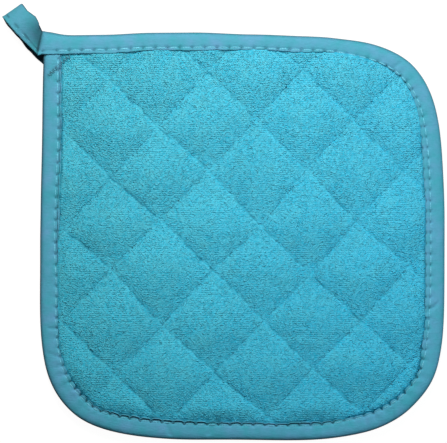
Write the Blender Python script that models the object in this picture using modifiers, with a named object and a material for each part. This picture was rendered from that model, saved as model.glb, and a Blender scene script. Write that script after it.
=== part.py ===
"""Quilted terry pot holder: a square pad, a cloth binding round its edge and a hanging loop.

It lies flat on a surface at Z = 0, with X to the right, Y away from the viewer and Z up. The
origin is under the middle of the whole object's footprint. Sizes below are in millimetres.
"""

import math
from collections import namedtuple

import bmesh
import bpy
import numpy as np

MM = 0.001
GAP = 0.3  # between pieces that touch
PAD_CENTRE = (8.4, -6.8)  # of the bound square, seen from above
WELD = 0.01  # points this close are one
BELOW_ALL, ABOVE_ALL = -5.0, 15.0  # heights clear of everything, for a cutter

TERRY_COLOUR, TERRY_ROUGHNESS = (0.055, 0.42, 0.57), 0.95
TAPE_COLOUR, TAPE_ROUGHNESS = (0.095, 0.39, 0.53), 0.8

# Heights
MID = 4.1  # middle of the pad's thickness above the surface
TROUGH = 1.6  # half thickness along the quilting lines
CROWN_RISE = 2.8  # further rise at the middle of a diamond, above
CROWN_DROP = 3.7  # and below, where it is then pressed flat by the surface
RIM = 1.3  # half thickness of the pad where it is pinched inside the binding

# Binding tape
CLOTH = 1.0
FLAP = 8.1  # width that shows on each face
BINDING_HALF = RIM + GAP + CLOTH

# Outside of the folded tape's section, from the fold inwards: distance inside the outer edge and
# height above or below the middle.
Section = namedtuple("Section", "inside height")
TAPE_OUTSIDE = (
    Section(0.0, 1.2),
    Section(0.6, 2.0),
    Section(2.0, 2.5),
    Section(4.4, BINDING_HALF + 0.1),
    Section(FLAP, BINDING_HALF),
)
TAPE_INSIDE = (Section(FLAP, RIM + GAP), Section(CLOTH, RIM + GAP))

# A smooth line through named places, with the heading there in degrees and the length of the
# curve handles before and after it.
Bend = namedtuple("Bend", "place x y heading before after")
CURVE_STEPS = 48  # points on the curve from one place to the next

# Outer edge of the binding, from the loop corner down the left side and anticlockwise back to it,
# measured from the pad's centre.
EDGE = (
    Bend("loop corner", -86.9, 88.5, -92, 0, 26.3),
    Bend("left", -88.7, -6.0, -90, 26.3, 33.0),
    Bend("bottom left", -74.1, -77.5, -41, 22.8, 16.7),
    Bend("bottom", 1.3, -89.3, 0, 37.3, 33.0),
    Bend("bottom right", 74.2, -75.1, 47, 20.2, 22.0),
    Bend("right", 88.8, 0.2, 90, 49.0, 39.5),
    Bend("top right", 74.6, 75.3, 135, 18.4, 23.5),
    Bend("top", -27.0, 89.2, 180, 30.0, 22.0),
    Bend("loop corner", -86.9, 88.5, 181, 22.0, 0),
)
EDGE_STEP = 15.0  # between mesh sections where the edge runs straight
EDGE_TURN = math.radians(8.0)  # between them where it turns
START_CLEAR = 1.0  # sections left out this near the tape's start
END_CLEAR = 3.0  # and this near its end, which has sections of its own

# Quilting lines: their distance from the pad's centre, towards the upper right for those that fall
# to the right and towards the lower right for those that rise to it.
QUILT_TURN = math.radians(46.7)
QUILT_PITCH = 30.3
FALLING = (-81.4, -51.5, -20.9, 9.4, 39.8, 69.8, 98.1)
RISING = (-89.6, -59.9, -29.9, 1.9, 32.5, 62.8, 90.7)
# Crossings where the stitching strayed: the lines that cross there, counted from 0, and how far
# the crossing lies from where straight lines would put it.
Stray = namedtuple("Stray", "falling rising out down")
STRAYS = (
    Stray(3, 2, 3.0, 1.8),
    Stray(4, 4, -2.3, 0.4),
    Stray(3, 3, 0.0, 1.9),
    Stray(1, 2, 1.5, -1.1),
    Stray(4, 5, 1.3, -1.4),
    Stray(0, 4, 1.7, -0.2),
)
DIAMOND_STEPS = (0.0, 0.08, 0.27, 0.5, 0.73, 0.92)  # mesh lines across a diamond, as fractions
PUFF_POWER = 0.55  # how soon a diamond swells beside its lines: less is sooner
UNEVEN = 0.06  # share by which one diamond's swelling differs from the next
UNEVEN_ALONG = (2.3, 1.1)  # turn of that wave from diamond to diamond, in radians
EDGE_PUFF = 0.35  # share of the swelling left beside the binding
EDGE_REACH = 7.0  # distance from the binding at which a diamond is full
TACK = (-79.9, 75.3)  # where the loop's tail is sewn through the corner
TACK_FLAT = 2.7  # radius that the sewing holds quite flat
TACK_REACH = 9.0  # further distance over which the pad swells again

# Hanging loop: the binding tape folded in half, turned back on itself past the corner
LOOP_TIP = (-101.1, 99.3)  # middle of its far fold, from the pad's centre
LOOP_TURN = math.radians(-46.6)  # heading from the far fold to the pad
STRAP_HALF_WIDTH = 5.3
STRAP = 1.1
STRAP_MID = STRAP / 2
CREASE_AT = 18.8  # distance from the far fold to the crease at the corner
CREASE_HEIGHT = 6.3
# Middle of the strap's thickness seen from the side: x from the far fold and y above the surface.
LOOP = (
    Bend("crease", CREASE_AT, CREASE_HEIGHT, 168, 0, 3.0),
    Bend("crown", 9.0, 7.5, 180, 3.4, 3.8),
    Bend("far fold", STRAP_MID, 4.0, 270, 2.1, 2.1),
    Bend("landing", 4.6, STRAP_MID, 0, 2.2, 4.0),
    Bend("tack", 31.6, STRAP_MID, 0, 9.0, 0),
)
STRAP_STEP = 2.4
STRAP_TURN = math.radians(16.0)
STRAP_FACES_ACROSS = 3
FAN_FROM = 12.5  # the strap turns into line with the top binding from here to the crease
CREASE_TURN = math.radians(46.6)
CREASE_SHIFT = -1.2
TAIL_SHIFT = -1.5  # the returning layer shows by this much below the upper one
TAIL_SHIFT_FROM, TAIL_SHIFT_TO = 5.55, 1.55  # heights between which it drifts there

# Where the tape flattens past the pad's corner, as a distance from the corner along the top edge
FLATTEN_FROM = -0.9
FLATTEN_TO = 1.4
FLATTEN_SECTIONS = 4
FLAT_PIVOT = 1.9  # height above MID that the flattened tape closes on
FLAT_SHARE = 0.27  # of the folded tape's height
FLAT_SPREAD = 0.22  # share by which it widens, from the line below
SPREAD_LINE = 2.8  # distance inside the outer edge


def smooth_step(value):
    value = np.clip(value, 0.0, 1.0)
    return value * value * (3.0 - 2.0 * value)


def route_points(bends):
    """Points along the curve through the bends."""
    stretches = []
    share = np.linspace(0.0, 1.0, CURVE_STEPS, endpoint=False)[:, None]
    for start, end in zip(bends, bends[1:]):
        leave, arrive = math.radians(start.heading), math.radians(end.heading)
        first = np.array([start.x, start.y])
        last = np.array([end.x, end.y])
        second = first + start.after * np.array([math.cos(leave), math.sin(leave)])
        third = last - end.before * np.array([math.cos(arrive), math.sin(arrive)])
        stretches.append(
            (1 - share) ** 3 * first
            + 3 * (1 - share) ** 2 * share * second
            + 3 * (1 - share) * share**2 * third
            + share**3 * last
        )
    stretches.append(np.array([[bends[-1].x, bends[-1].y]]))
    return np.concatenate(stretches)


def route_table(bends):
    """Points, unit headings and distances along the curve through the bends."""
    points = route_points(bends)
    headings = np.gradient(points, axis=0)
    headings /= np.linalg.norm(headings, axis=1)[:, None]
    steps = np.linalg.norm(np.diff(points, axis=0), axis=1)
    return points, headings, np.concatenate([[0.0], np.cumsum(steps)])


def stations(table, straight_step, turn_step):
    """Distances from end to end of a route, closer together where it turns."""
    _, headings, along = table
    turn = np.abs(np.diff(np.unwrap(np.arctan2(headings[:, 1], headings[:, 0]))))
    effort = along / straight_step + np.concatenate([[0.0], np.cumsum(turn)]) / turn_step
    count = int(round(effort[-1]))
    return np.interp(np.linspace(0.0, effort[-1], count + 1), effort, along)


def read_route(table, distances):
    """Points and unit headings at these distances, carried on straight past either end."""
    points, headings, along = table
    place = np.stack([np.interp(distances, along, points[:, k]) for k in (0, 1)], axis=1)
    heading = np.stack([np.interp(distances, along, headings[:, k]) for k in (0, 1)], axis=1)
    heading /= np.linalg.norm(heading, axis=1)[:, None]
    past = distances - np.clip(distances, along[0], along[-1])
    return place + past[:, None] * heading, heading


def inward(headings):
    """The edge runs anticlockwise, so the pad lies to the left of each heading."""
    return np.stack([-headings[:, 1], headings[:, 0]], axis=1)


def inset_outline(inset):
    """The closed outline this far inside the binding's outer edge, square at the loop corner."""
    table = route_table(EDGE)
    points, headings = read_route(table, stations(table, EDGE_STEP, EDGE_TURN))
    outline = points + inset * inward(headings)
    corner = (outline[0] + inset * headings[0] + outline[-1] - inset * headings[-1]) / 2
    return np.concatenate([[corner], outline[1:-1]])


def depth_inside(points):
    """How far each point lies inside the binding's outer edge, negative outside it."""
    route, headings, _ = route_table(EDGE)
    apart = np.linalg.norm(points[:, None] - route[None], axis=2)
    nearest = apart.argmin(axis=1)
    return ((points - route[nearest]) * inward(headings)[nearest]).sum(axis=1)


def crossings():
    """Where the quilting lines cross, with one more line past each end of both families."""
    falling = np.array([FALLING[0] - QUILT_PITCH, *FALLING, FALLING[-1] + QUILT_PITCH])
    rising = np.array([RISING[0] - QUILT_PITCH, *RISING, RISING[-1] + QUILT_PITCH])
    out, down = np.meshgrid(falling, rising, indexing="ij")
    for stray in STRAYS:
        out[stray.falling + 1, stray.rising + 1] += stray.out
        down[stray.falling + 1, stray.rising + 1] += stray.down
    cosine, sine = math.cos(QUILT_TURN), math.sin(QUILT_TURN)
    return np.stack([out * cosine + down * sine, out * sine - down * cosine], axis=2)


def diamond_place(lines):
    """The diamond that each mesh line lies in, counted from 0, and the fraction across it."""
    count = len(DIAMOND_STEPS)
    return lines // count, np.array(DIAMOND_STEPS)[lines % count]


def blend_crossings(table, row, row_share, column, column_share):
    """The place inside a diamond, blended from its four crossings."""
    row_next = np.minimum(row + 1, table.shape[0] - 1)
    column_next = np.minimum(column + 1, table.shape[1] - 1)
    row_share, column_share = row_share[:, None], column_share[:, None]
    near = table[row, column] * (1 - column_share) + table[row, column_next] * column_share
    far = table[row_next, column] * (1 - column_share) + table[row_next, column_next] * column_share
    return near * (1 - row_share) + far * row_share


def quilted_points(rows, columns, upper):
    """Points of the quilted faces: diamonds swell from their lines and are pressed flat below."""
    row, row_share = diamond_place(rows)
    column, column_share = diamond_place(columns)
    place = blend_crossings(crossings(), row, row_share, column, column_share)
    swell = (np.sin(math.pi * row_share) * np.sin(math.pi * column_share)) ** PUFF_POWER
    swell *= 1.0 + UNEVEN * np.sin(UNEVEN_ALONG[0] * row + UNEVEN_ALONG[1] * column)
    depth = depth_inside(place) - FLAP
    swell *= EDGE_PUFF + (1.0 - EDGE_PUFF) * smooth_step(depth / EDGE_REACH)
    from_tack = np.linalg.norm(place - np.array(TACK), axis=1)
    swell *= smooth_step((from_tack - TACK_FLAT) / TACK_REACH)
    above = MID + TROUGH + CROWN_RISE * swell
    below = np.maximum(MID - TROUGH - CROWN_DROP * swell, 0.0)
    return np.column_stack([place, np.where(upper, above, below)])


def in_metres(points):
    """Points measured from the pad's centre, moved to the object's origin and put in metres."""
    return (np.asarray(points) + np.array([*PAD_CENTRE, 0.0])) * MM


def add_object(name, mesh, collection):
    made = bpy.data.objects.new(name, mesh)
    collection.objects.link(made)
    return made


def set_points(mesh, points):
    mesh.vertices.foreach_set("co", points.astype(np.float32).ravel())
    mesh.update()


def get_points(mesh):
    points = np.empty(len(mesh.vertices) * 3, np.float32)
    mesh.vertices.foreach_get("co", points)
    return points.reshape(-1, 3).astype(float)


def weld_and_face_out(mesh):
    work = bmesh.new()
    work.from_mesh(mesh)
    bmesh.ops.remove_doubles(work, verts=work.verts, dist=WELD * MM)
    bmesh.ops.recalc_face_normals(work, faces=work.faces)
    work.to_mesh(mesh)
    work.free()


def unit_grid(name, rows, columns, doubled):
    """A mesh over the unit square, with a second sheet above the first if doubled."""
    work = bmesh.new()
    bmesh.ops.create_grid(work, x_segments=rows, y_segments=columns, size=0.5)
    if doubled:
        raised = bmesh.ops.extrude_face_region(work, geom=work.faces[:])
        corners = [item for item in raised["geom"] if isinstance(item, bmesh.types.BMVert)]
        bmesh.ops.translate(work, verts=corners, vec=(0.0, 0.0, 1.0))
    mesh = bpy.data.meshes.new(name)
    work.to_mesh(mesh)
    work.free()
    return mesh


def grid_lines(share, count):
    """The line of the unit grid that each of its points lies on, counted from 0."""
    return np.rint((share + 0.5) * count).astype(int)


def curve_to_mesh(curve_object, collection):
    """Replaces a curve object with its mesh, whose caps are welded on."""
    bpy.context.view_layer.update()
    graph = bpy.context.evaluated_depsgraph_get()
    mesh = bpy.data.meshes.new_from_object(curve_object.evaluated_get(graph))
    weld_and_face_out(mesh)
    name = curve_object.name
    placed = curve_object.matrix_world.copy()
    bpy.data.objects.remove(curve_object)
    made = add_object(name, mesh, collection)
    made.matrix_world = placed
    return made


def poly_curve(name, points, closed, collection):
    """A flat curve object of straight steps through points in metres."""
    curve = bpy.data.curves.new(name, "CURVE")
    curve.dimensions = "2D"
    spline = curve.splines.new("POLY")
    spline.points.add(len(points) - 1)
    rows = np.column_stack([points, np.ones(len(points))])
    spline.points.foreach_set("co", rows.astype(np.float32).ravel())
    spline.use_cyclic_u = closed
    return add_object(name, curve, collection)


def flat_plate(name, outline, low, high, collection):
    """A plate with this outline between two heights."""
    points = in_metres(np.column_stack([outline, np.zeros(len(outline))]))
    plate = poly_curve(name, points, True, collection)
    plate.data.fill_mode = "BOTH"
    plate.data.extrude = (high - low) / 2 * MM
    plate.location.z = (high + low) / 2 * MM
    return curve_to_mesh(plate, collection)


def make_guide(helper):
    helper.hide_render = True
    helper.display_type = "WIRE"


def quilted_pad(collection, cutters):
    """A slab of diamonds in both faces, cut to the field inside the binding, on a pinched rim."""
    row_lines = len(DIAMOND_STEPS) * (len(FALLING) + 1)
    column_lines = len(DIAMOND_STEPS) * (len(RISING) + 1)
    mesh = unit_grid("quilted_pad", row_lines, column_lines, doubled=True)
    unit = get_points(mesh)
    rows = grid_lines(unit[:, 0], row_lines)
    columns = grid_lines(unit[:, 1], column_lines)
    set_points(mesh, in_metres(quilted_points(rows, columns, unit[:, 2] > 0.5)))
    weld_and_face_out(mesh)
    mesh.shade_smooth()
    pad = add_object("quilted_pad", mesh, collection)

    field = flat_plate("field", inset_outline(FLAP + GAP), BELOW_ALL, ABOVE_ALL, cutters)
    rim = flat_plate("pinched_rim", inset_outline(CLOTH + GAP), MID - RIM, MID + RIM, cutters)
    for helper, operation in ((field, "INTERSECT"), (rim, "UNION")):
        make_guide(helper)
        step = pad.modifiers.new(helper.name, "BOOLEAN")
        step.operation = operation
        step.solver = "EXACT"
        step.object = helper
    return pad


def tape_section():
    """The folded tape's section, as distances towards the outer side and heights, in metres."""
    half = TAPE_OUTSIDE + TAPE_INSIDE
    upper = [(-place.inside * MM, place.height * MM, 0.0) for place in half]
    return upper + [(across, -height, 0.0) for across, height, _ in reversed(upper)]


def flatten_end(points, table):
    """Closes the folded tape onto its upper face where it runs past the pad's corner.

    Heights are measured from the middle of the pad's thickness.
    """
    corner, heading = read_route(table, np.array([table[2][-1]]))
    side = inward(heading)[0]
    from_corner = points[:, :2] - corner[0]
    across = from_corner @ side
    share = smooth_step((from_corner @ heading[0] - FLATTEN_FROM) / (FLATTEN_TO - FLATTEN_FROM))
    share *= (np.linalg.norm(from_corner, axis=1) < 2 * FLAP) & (across < FLAP + GAP)
    flat_height = FLAT_PIVOT + points[:, 2] * FLAT_SHARE
    moved = points.copy()
    moved[:, :2] += (share * FLAT_SPREAD * (across - SPREAD_LINE))[:, None] * side
    moved[:, 2] += (flat_height - points[:, 2]) * share
    return moved


def edge_binding(collection, cutters):
    """The tape folded over the pad's edge, from under the top run round to the loop corner."""
    table = route_table(EDGE)
    length = table[2][-1]
    start = FLAP + GAP
    where = stations(table, EDGE_STEP, EDGE_TURN)
    where = where[(where > start + START_CLEAR) & (where < length - END_CLEAR)]
    past_corner = length + np.linspace(FLATTEN_FROM, FLATTEN_TO, FLATTEN_SECTIONS)
    points, _ = read_route(table, np.concatenate([[start], where, past_corner]))
    level = in_metres(np.column_stack([points, np.zeros(len(points))]))
    path = poly_curve("edge_binding", level, False, collection)
    path.location.z = MID * MM
    profile = poly_curve("tape_section", tape_section(), True, cutters)
    make_guide(profile)
    path.data.bevel_mode = "OBJECT"
    path.data.bevel_object = profile
    path.data.use_fill_caps = True
    binding = curve_to_mesh(path, collection)
    placed = get_points(binding.data) / MM - np.array([*PAD_CENTRE, 0.0])
    set_points(binding.data, in_metres(flatten_end(placed, table)))
    binding.data.shade_smooth()
    binding.data.set_sharp_from_angle(angle=math.radians(50))
    return binding


def strap_points(distances, across):
    """Middle surface of the loop, at distances along it and shares of its half width."""
    side_view, heading = read_route(route_table(LOOP), distances)
    from_fold, height = side_view[:, 0], side_view[:, 1]
    upper = heading[:, 0] < 0
    fan = np.where(upper, smooth_step((from_fold - FAN_FROM) / (CREASE_AT - FAN_FROM)), 0.0)
    drift = smooth_step((TAIL_SHIFT_FROM - height) / (TAIL_SHIFT_FROM - TAIL_SHIFT_TO))
    shift = np.where(upper, fan * CREASE_SHIFT, drift * TAIL_SHIFT)
    axis = np.array([math.cos(LOOP_TURN), math.sin(LOOP_TURN)])
    side = np.array([-axis[1], axis[0]])
    turn = LOOP_TURN + math.pi / 2 + fan * CREASE_TURN
    place = np.array(LOOP_TIP) + from_fold[:, None] * axis + shift[:, None] * side
    place += (across * STRAP_HALF_WIDTH)[:, None] * np.stack([np.cos(turn), np.sin(turn)], axis=1)
    return np.column_stack([place, height])


def hanging_loop(collection):
    """The strap from the crease over the far fold and back below to where its tail is tacked."""
    where = stations(route_table(LOOP), STRAP_STEP, STRAP_TURN)
    mesh = unit_grid("hanging_loop", len(where) - 1, STRAP_FACES_ACROSS, doubled=False)
    unit = get_points(mesh)
    distances = where[grid_lines(unit[:, 0], len(where) - 1)]
    set_points(mesh, in_metres(strap_points(distances, unit[:, 1] * 2)))
    mesh.shade_smooth()
    loop = add_object("hanging_loop", mesh, collection)
    wall = loop.modifiers.new("strap", "SOLIDIFY")
    wall.thickness = STRAP * MM
    wall.offset = 0.0
    return loop


def cloth_material(name, colour, roughness):
    material = bpy.data.materials.new(name)
    material.use_nodes = True
    shader = material.node_tree.nodes["Principled BSDF"]
    shader.inputs["Base Color"].default_value = (*colour, 1.0)
    shader.inputs["Roughness"].default_value = roughness
    shader.inputs["Metallic"].default_value = 0.0
    return material


def main():
    for leftover in list(bpy.data.objects):
        bpy.data.objects.remove(leftover)
    collection = bpy.data.collections.new("pot_holder")
    cutters = bpy.data.collections.new("cutters")
    for made in (collection, cutters):
        bpy.context.scene.collection.children.link(made)
    terry = cloth_material("terry", TERRY_COLOUR, TERRY_ROUGHNESS)
    tape = cloth_material("binding_cloth", TAPE_COLOUR, TAPE_ROUGHNESS)
    quilted_pad(collection, cutters).data.materials.append(terry)
    edge_binding(collection, cutters).data.materials.append(tape)
    hanging_loop(collection).data.materials.append(tape)


main()
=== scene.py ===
# A quilted terry pot holder with a bound edge and a hanging loop, lying on a pale table.
# Shapes are worked out in millimetres from the middle of the bound square: X right, Y away, Z up.

import math

import bmesh
import bpy
import numpy as np
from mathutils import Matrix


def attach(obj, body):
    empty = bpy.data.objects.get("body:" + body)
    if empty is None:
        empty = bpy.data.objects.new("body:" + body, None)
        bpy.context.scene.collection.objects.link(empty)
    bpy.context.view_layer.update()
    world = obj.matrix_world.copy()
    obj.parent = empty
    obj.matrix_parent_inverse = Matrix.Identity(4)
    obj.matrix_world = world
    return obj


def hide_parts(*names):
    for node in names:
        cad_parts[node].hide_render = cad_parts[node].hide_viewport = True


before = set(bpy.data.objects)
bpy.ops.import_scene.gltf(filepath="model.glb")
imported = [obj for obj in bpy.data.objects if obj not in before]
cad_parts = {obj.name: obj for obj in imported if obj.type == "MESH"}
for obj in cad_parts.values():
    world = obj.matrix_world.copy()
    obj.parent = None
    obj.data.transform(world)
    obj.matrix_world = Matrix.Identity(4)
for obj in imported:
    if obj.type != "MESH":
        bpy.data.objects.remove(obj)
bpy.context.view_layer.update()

mm = 0.001
padCentre = (8.4, -6.8)  # middle of the bound square, from the object's origin
middle = 4.1  # height of the middle of the pad's thickness above the table
rim = 1.3  # half thickness of the pad where the binding pinches it
cloth = 0.9  # thickness of the binding tape, its edge turned under
clearance = 0.3  # between the pad's rim and the tape folded round it
offTable = 0.02  # nothing lies nearer to the table than this


# 0 below 0, 1 above 1, and an even S between them
def smoothStep(value):
    value = np.clip(value, 0.0, 1.0)
    return value * value * (3.0 - 2.0 * value)


# A soft bump: 1 at zero, e to the minus square of the distance over its width
def bell(distance, width):
    return np.exp(-((distance / width) ** 2))


# Values of a table blended between four neighbours, by the shares of the way to the next ones
def blend(table, column, row, right, up):
    near = table[column, row] * (1 - up) + table[column, row + 1] * up
    far = table[column + 1, row] * (1 - up) + table[column + 1, row + 1] * up
    return near * (1 - right) + far * right


# Random numbers on a square lattice of this size, blended smoothly between its corners: -1 to 1
def softNoise(across, up, size, seed):
    table = np.random.default_rng(seed).uniform(-1.0, 1.0, (256, 256))
    across, up = np.broadcast_arrays(np.asarray(across) / size + 100.0, np.asarray(up) / size + 100.0)
    column, row = np.floor(across).astype(int), np.floor(up).astype(int)
    right, above = smoothStep(across - column), smoothStep(up - row)
    return blend(table.T, row % 255, column % 255, above, right)


# A cubic curve through the bends, each with a heading and the length of its handles
def routeThrough(bends, steps=48):
    share = np.linspace(0.0, 1.0, steps, endpoint=False)[:, None]
    stretches = []
    for start, end in zip(bends, bends[1:]):
        (_, x0, y0, leave, _, after), (_, x1, y1, arrive, before, _) = start, end
        leave, arrive = math.radians(leave), math.radians(arrive)
        p0, p3 = np.array([x0, y0]), np.array([x1, y1])
        p1 = p0 + after * np.array([math.cos(leave), math.sin(leave)])
        p2 = p3 - before * np.array([math.cos(arrive), math.sin(arrive)])
        stretches.append((1 - share) ** 3 * p0 + 3 * (1 - share) ** 2 * share * p1
                         + 3 * (1 - share) * share**2 * p2 + share**3 * p3)
    points = np.concatenate(stretches + [np.array([[bends[-1][1], bends[-1][2]]])])
    headings = np.gradient(points, axis=0)
    headings /= np.linalg.norm(headings, axis=1)[:, None]
    along = np.concatenate([[0.0], np.cumsum(np.linalg.norm(np.diff(points, axis=0), axis=1))])
    return {"points": points, "headings": headings, "along": along}


# Place and unit heading at distances along a route, carried on straight past its ends
def readRoute(route, distances):
    along = route["along"]
    place = np.stack([np.interp(distances, along, route["points"][:, k]) for k in (0, 1)], axis=-1)
    heading = np.stack([np.interp(distances, along, route["headings"][:, k]) for k in (0, 1)], axis=-1)
    heading /= np.linalg.norm(heading, axis=-1)[..., None]
    past = distances - np.clip(distances, along[0], along[-1])
    return place + past[..., None] * heading, heading


# The quarter turn to the left of a heading
def leftOf(heading):
    return np.stack([-heading[..., 1], heading[..., 0]], axis=-1)


# Millimetres from the bound square's middle, as metres from the object's origin
def inMetres(points):
    return (np.asarray(points) + np.array([*padCentre, 0.0])) * mm


# Corners of each cell of a grid whose points are stored row by row
def gridCells(rows, columns, wrapped=False):
    row = np.arange(rows - 1)[:, None] * columns
    column = np.arange(columns if wrapped else columns - 1)[None]
    following = (column + 1) % columns
    corners = [row + column, row + following, row + following + columns, row + column + columns]
    return np.stack(corners, axis=2).reshape(-1, 4)


def addObject(name, data):
    made = bpy.data.objects.new(name, data)
    bpy.context.scene.collection.objects.link(made)
    return made


# A flat map for a mesh, from a place for each of its points
def addMap(mesh, name, flatCoords):
    corner = np.empty(len(mesh.loops), np.int32)
    mesh.loops.foreach_get("vertex_index", corner)
    layer = mesh.uv_layers.new(name=name)
    layer.uv.foreach_set("vector", flatCoords[corner].astype(np.float32).ravel())


# A mesh object from points in millimetres, its doubles merged and its faces turned outwards
def makePiece(name, points, faces, flatCoords=None, shades=None, weld=0.0):
    mesh = bpy.data.meshes.new(name)
    mesh.from_pydata(inMetres(points).tolist(), [], faces)
    for shade, values in (shades or {}).items():
        attribute = mesh.attributes.new(shade, "FLOAT", "POINT")
        attribute.data.foreach_set("value", np.asarray(values, np.float32).ravel())
    if flatCoords is not None:
        addMap(mesh, "tape", flatCoords)
    work = bmesh.new()
    work.from_mesh(mesh)
    if weld:
        bmesh.ops.remove_doubles(work, verts=work.verts, dist=weld * mm)
        bmesh.ops.dissolve_degenerate(work, edges=work.edges, dist=weld * mm)
    bmesh.ops.recalc_face_normals(work, faces=work.faces)
    work.to_mesh(mesh)
    work.free()
    mesh.shade_smooth()
    piece = addObject(name, mesh)
    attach(piece, "root")
    print(f"{name}: {len(mesh.polygons)} faces")
    return piece


# A closed section carried along a path, with a cap at each end. Its map runs along it and round it
def makeTube(name, points, alongShare, aroundShare, deep):
    rows, columns = points.shape[:2]
    ends = [list(range(columns)), list(range((rows - 1) * columns, rows * columns))]
    faces = gridCells(rows, columns, wrapped=True).tolist() + ends
    flat = np.stack(np.broadcast_arrays(alongShare[:, None], aroundShare[None]), axis=2)
    return makePiece(name, points.reshape(-1, 3), faces, flat.reshape(-1, 2), {"deep": deep})


# Outer edge, from the loop corner down the left side and anticlockwise back to it
edge = {
    "bends": (
        # name, x, y, heading, handle before, handle after
        ("loop corner", -86.9, 88.5, -92, 0, 26.3),
        ("left", -88.7, -6.0, -90, 26.3, 33.0),
        ("bottom left", -74.1, -77.5, -41, 22.8, 16.7),
        ("bottom", 1.3, -89.3, 0, 37.3, 33.0),
        ("bottom right", 74.2, -75.1, 47, 20.2, 22.0),
        ("right", 88.8, 0.2, 90, 49.0, 39.5),
        ("top right", 74.6, 75.3, 135, 18.4, 23.5),
        ("top", -27.0, 89.2, 180, 30.0, 22.0),
        ("loop corner", -86.9, 88.5, 181, 22.0, 0),
    ),
    # distance along the edge; how far it strays outwards there; width of tape that shows; how far in
    # it is sewn; how far its turned-under edge peeps out; how far a stitch draws its inner edge back;
    # how deep the terry is tucked beside it; how sharply it dips there; and the pitch of the stitches
    "columns": ("along", "drift", "shows", "sewn", "peeps", "drawn", "tuck", "dip", "pitch"),
    "stations": (
        (0, -0.10, 7.2, 6.4, 0.2, 0.10, 0.40, 0.40, 5.1),
        (18, -0.10, 7.4, 6.5, 1.1, 0.15, 0.40, 0.42, 5.1),
        (48, -0.35, 7.8, 7.1, 1.1, 0.15, 0.40, 0.42, 5.1),
        (75, -0.20, 7.4, 6.5, 1.5, 0.15, 0.40, 0.35, 5.0),
        (92, -0.10, 7.4, 6.5, 0.9, 0.15, 0.50, 0.25, 4.9),
        (110, -0.15, 7.9, 7.2, 0.3, 0.15, 0.50, 0.20, 4.7),
        (136, -0.15, 7.6, 6.8, 0.0, 0.35, 0.55, 0.40, 4.6),
        (152, 0.05, 8.7, 7.3, 0.0, 0.75, 0.60, 0.50, 4.7),
        (165, 0.05, 8.9, 7.8, 0.3, 0.85, 0.80, 0.50, 4.8),
        (182, 0.05, 7.6, 7.0, 1.0, 0.65, 1.00, 0.35, 4.9),
        (216, 0.20, 7.55, 7.2, 1.35, 0.55, 1.00, 0.30, 5.0),
        (240, -0.10, 7.15, 6.5, 1.35, 0.55, 1.00, 0.30, 5.1),
        (276, 0.30, 7.00, 6.5, 1.25, 0.50, 0.90, 0.35, 5.1),
        (300, -0.10, 7.8, 7.0, 0.2, 0.60, 0.70, 0.50, 5.0),
        (313, -0.25, 7.9, 7.1, 0.0, 0.95, 0.60, 0.50, 5.0),
        (338, 0.50, 7.3, 6.5, 0.0, 1.00, 0.55, 0.50, 5.0),
        (352, 0.20, 8.5, 6.8, 0.0, 0.60, 0.50, 0.45, 4.9),
        (392, 0.10, 8.3, 6.2, 0.1, 0.25, 0.55, 0.35, 4.7),
        (412, 0.15, 8.3, 6.25, 0.1, 0.20, 0.60, 0.35, 4.7),
        (434, -0.10, 8.6, 6.15, 0.1, 0.20, 0.50, 0.30, 4.8),
        (464, 0.15, 8.1, 6.4, 0.0, 0.40, 0.25, 0.10, 4.9),
        (482, 0.10, 7.6, 7.0, 0.0, 0.50, 0.10, 0.00, 4.9),
        (500, 0.30, 7.1, 6.7, 0.0, 0.45, 0.00, 0.00, 5.0),
        (518, -0.30, 6.5, 6.0, 0.0, 0.25, 0.10, 0.10, 5.1),
        (536, -0.80, 7.1, 6.1, 0.0, 0.15, 0.38, 0.14, 5.3),
        (554, -0.65, 6.8, 6.0, 0.0, 0.10, 0.38, 0.10, 5.4),
        (580, 0.32, 7.9, 6.7, 0.0, 0.10, 0.36, 0.10, 5.4),
        (598, 0.25, 7.8, 6.7, 0.0, 0.10, 0.36, 0.12, 5.4),
        (618, -0.40, 8.2, 6.8, 0.0, 0.10, 0.40, 0.20, 5.4),
        (646, -0.30, 8.2, 6.8, 0.1, 0.10, 0.40, 0.25, 5.4),
    ),
    "wander": (0.18, 6.0, 2.6),  # how far the inner edge strays besides, and over what lengths
    "sewnWander": (0.12, 14.0),  # the same for the sewn line
    "uneven": (0.7, 4.4),  # how unevenly the stitches draw the cloth back, and over what length
    "peepUneven": (0.35, 9.0),  # the same for how far the turned-under edge peeps out
}
stations = {name: np.array(values) for name, values in zip(edge["columns"], zip(*edge["stations"]))}


# One column of the edge's table read at distances along it
def alongEdge(column, distances):
    marks, values = stations["along"], stations[column]
    place = np.clip(np.searchsorted(marks, distances) - 1, 0, len(marks) - 2)
    share = smoothStep((distances - marks[place]) / (marks[place + 1] - marks[place]))
    return values[place] + (values[place + 1] - values[place]) * share


edgeRoute = routeThrough(edge["bends"])
edgeRoute["points"] -= alongEdge("drift", edgeRoute["along"])[:, None] * leftOf(edgeRoute["headings"])
edgeLength = edgeRoute["along"][-1]


# Number of stitches up to a distance along the edge: the sum of steps over the pitch there
stitchMarks = np.arange(-4.0, edgeLength + 6.0, 1.0)
stitchSums = np.cumsum(1.0 / alongEdge("pitch", stitchMarks))


def stitchesTo(distances):
    return np.interp(distances, stitchMarks, stitchSums)


# How near a place is to a needle hole: 1 at a hole, 0 midway between two
def holeShare(stitches, sharp=4):
    return (0.5 + 0.5 * np.cos(2 * math.pi * stitches)) ** sharp


# How far in from the outer edge the tape is sewn, which wanders a little
def sewnAt(distances):
    high, size = edge["sewnWander"]
    return alongEdge("sewn", distances) + high * softNoise(distances, 3.0, size, 17)


# How far each stitch draws the cloth round it back, no two alike
def drawnAt(distances, sharp):
    vary, size = edge["uneven"]
    uneven = np.clip(1.0 + vary * softNoise(distances, 2.0, size, 16), 0.3, 1.6)
    return alongEdge("drawn", distances) * uneven * holeShare(stitchesTo(distances), sharp)


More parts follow.
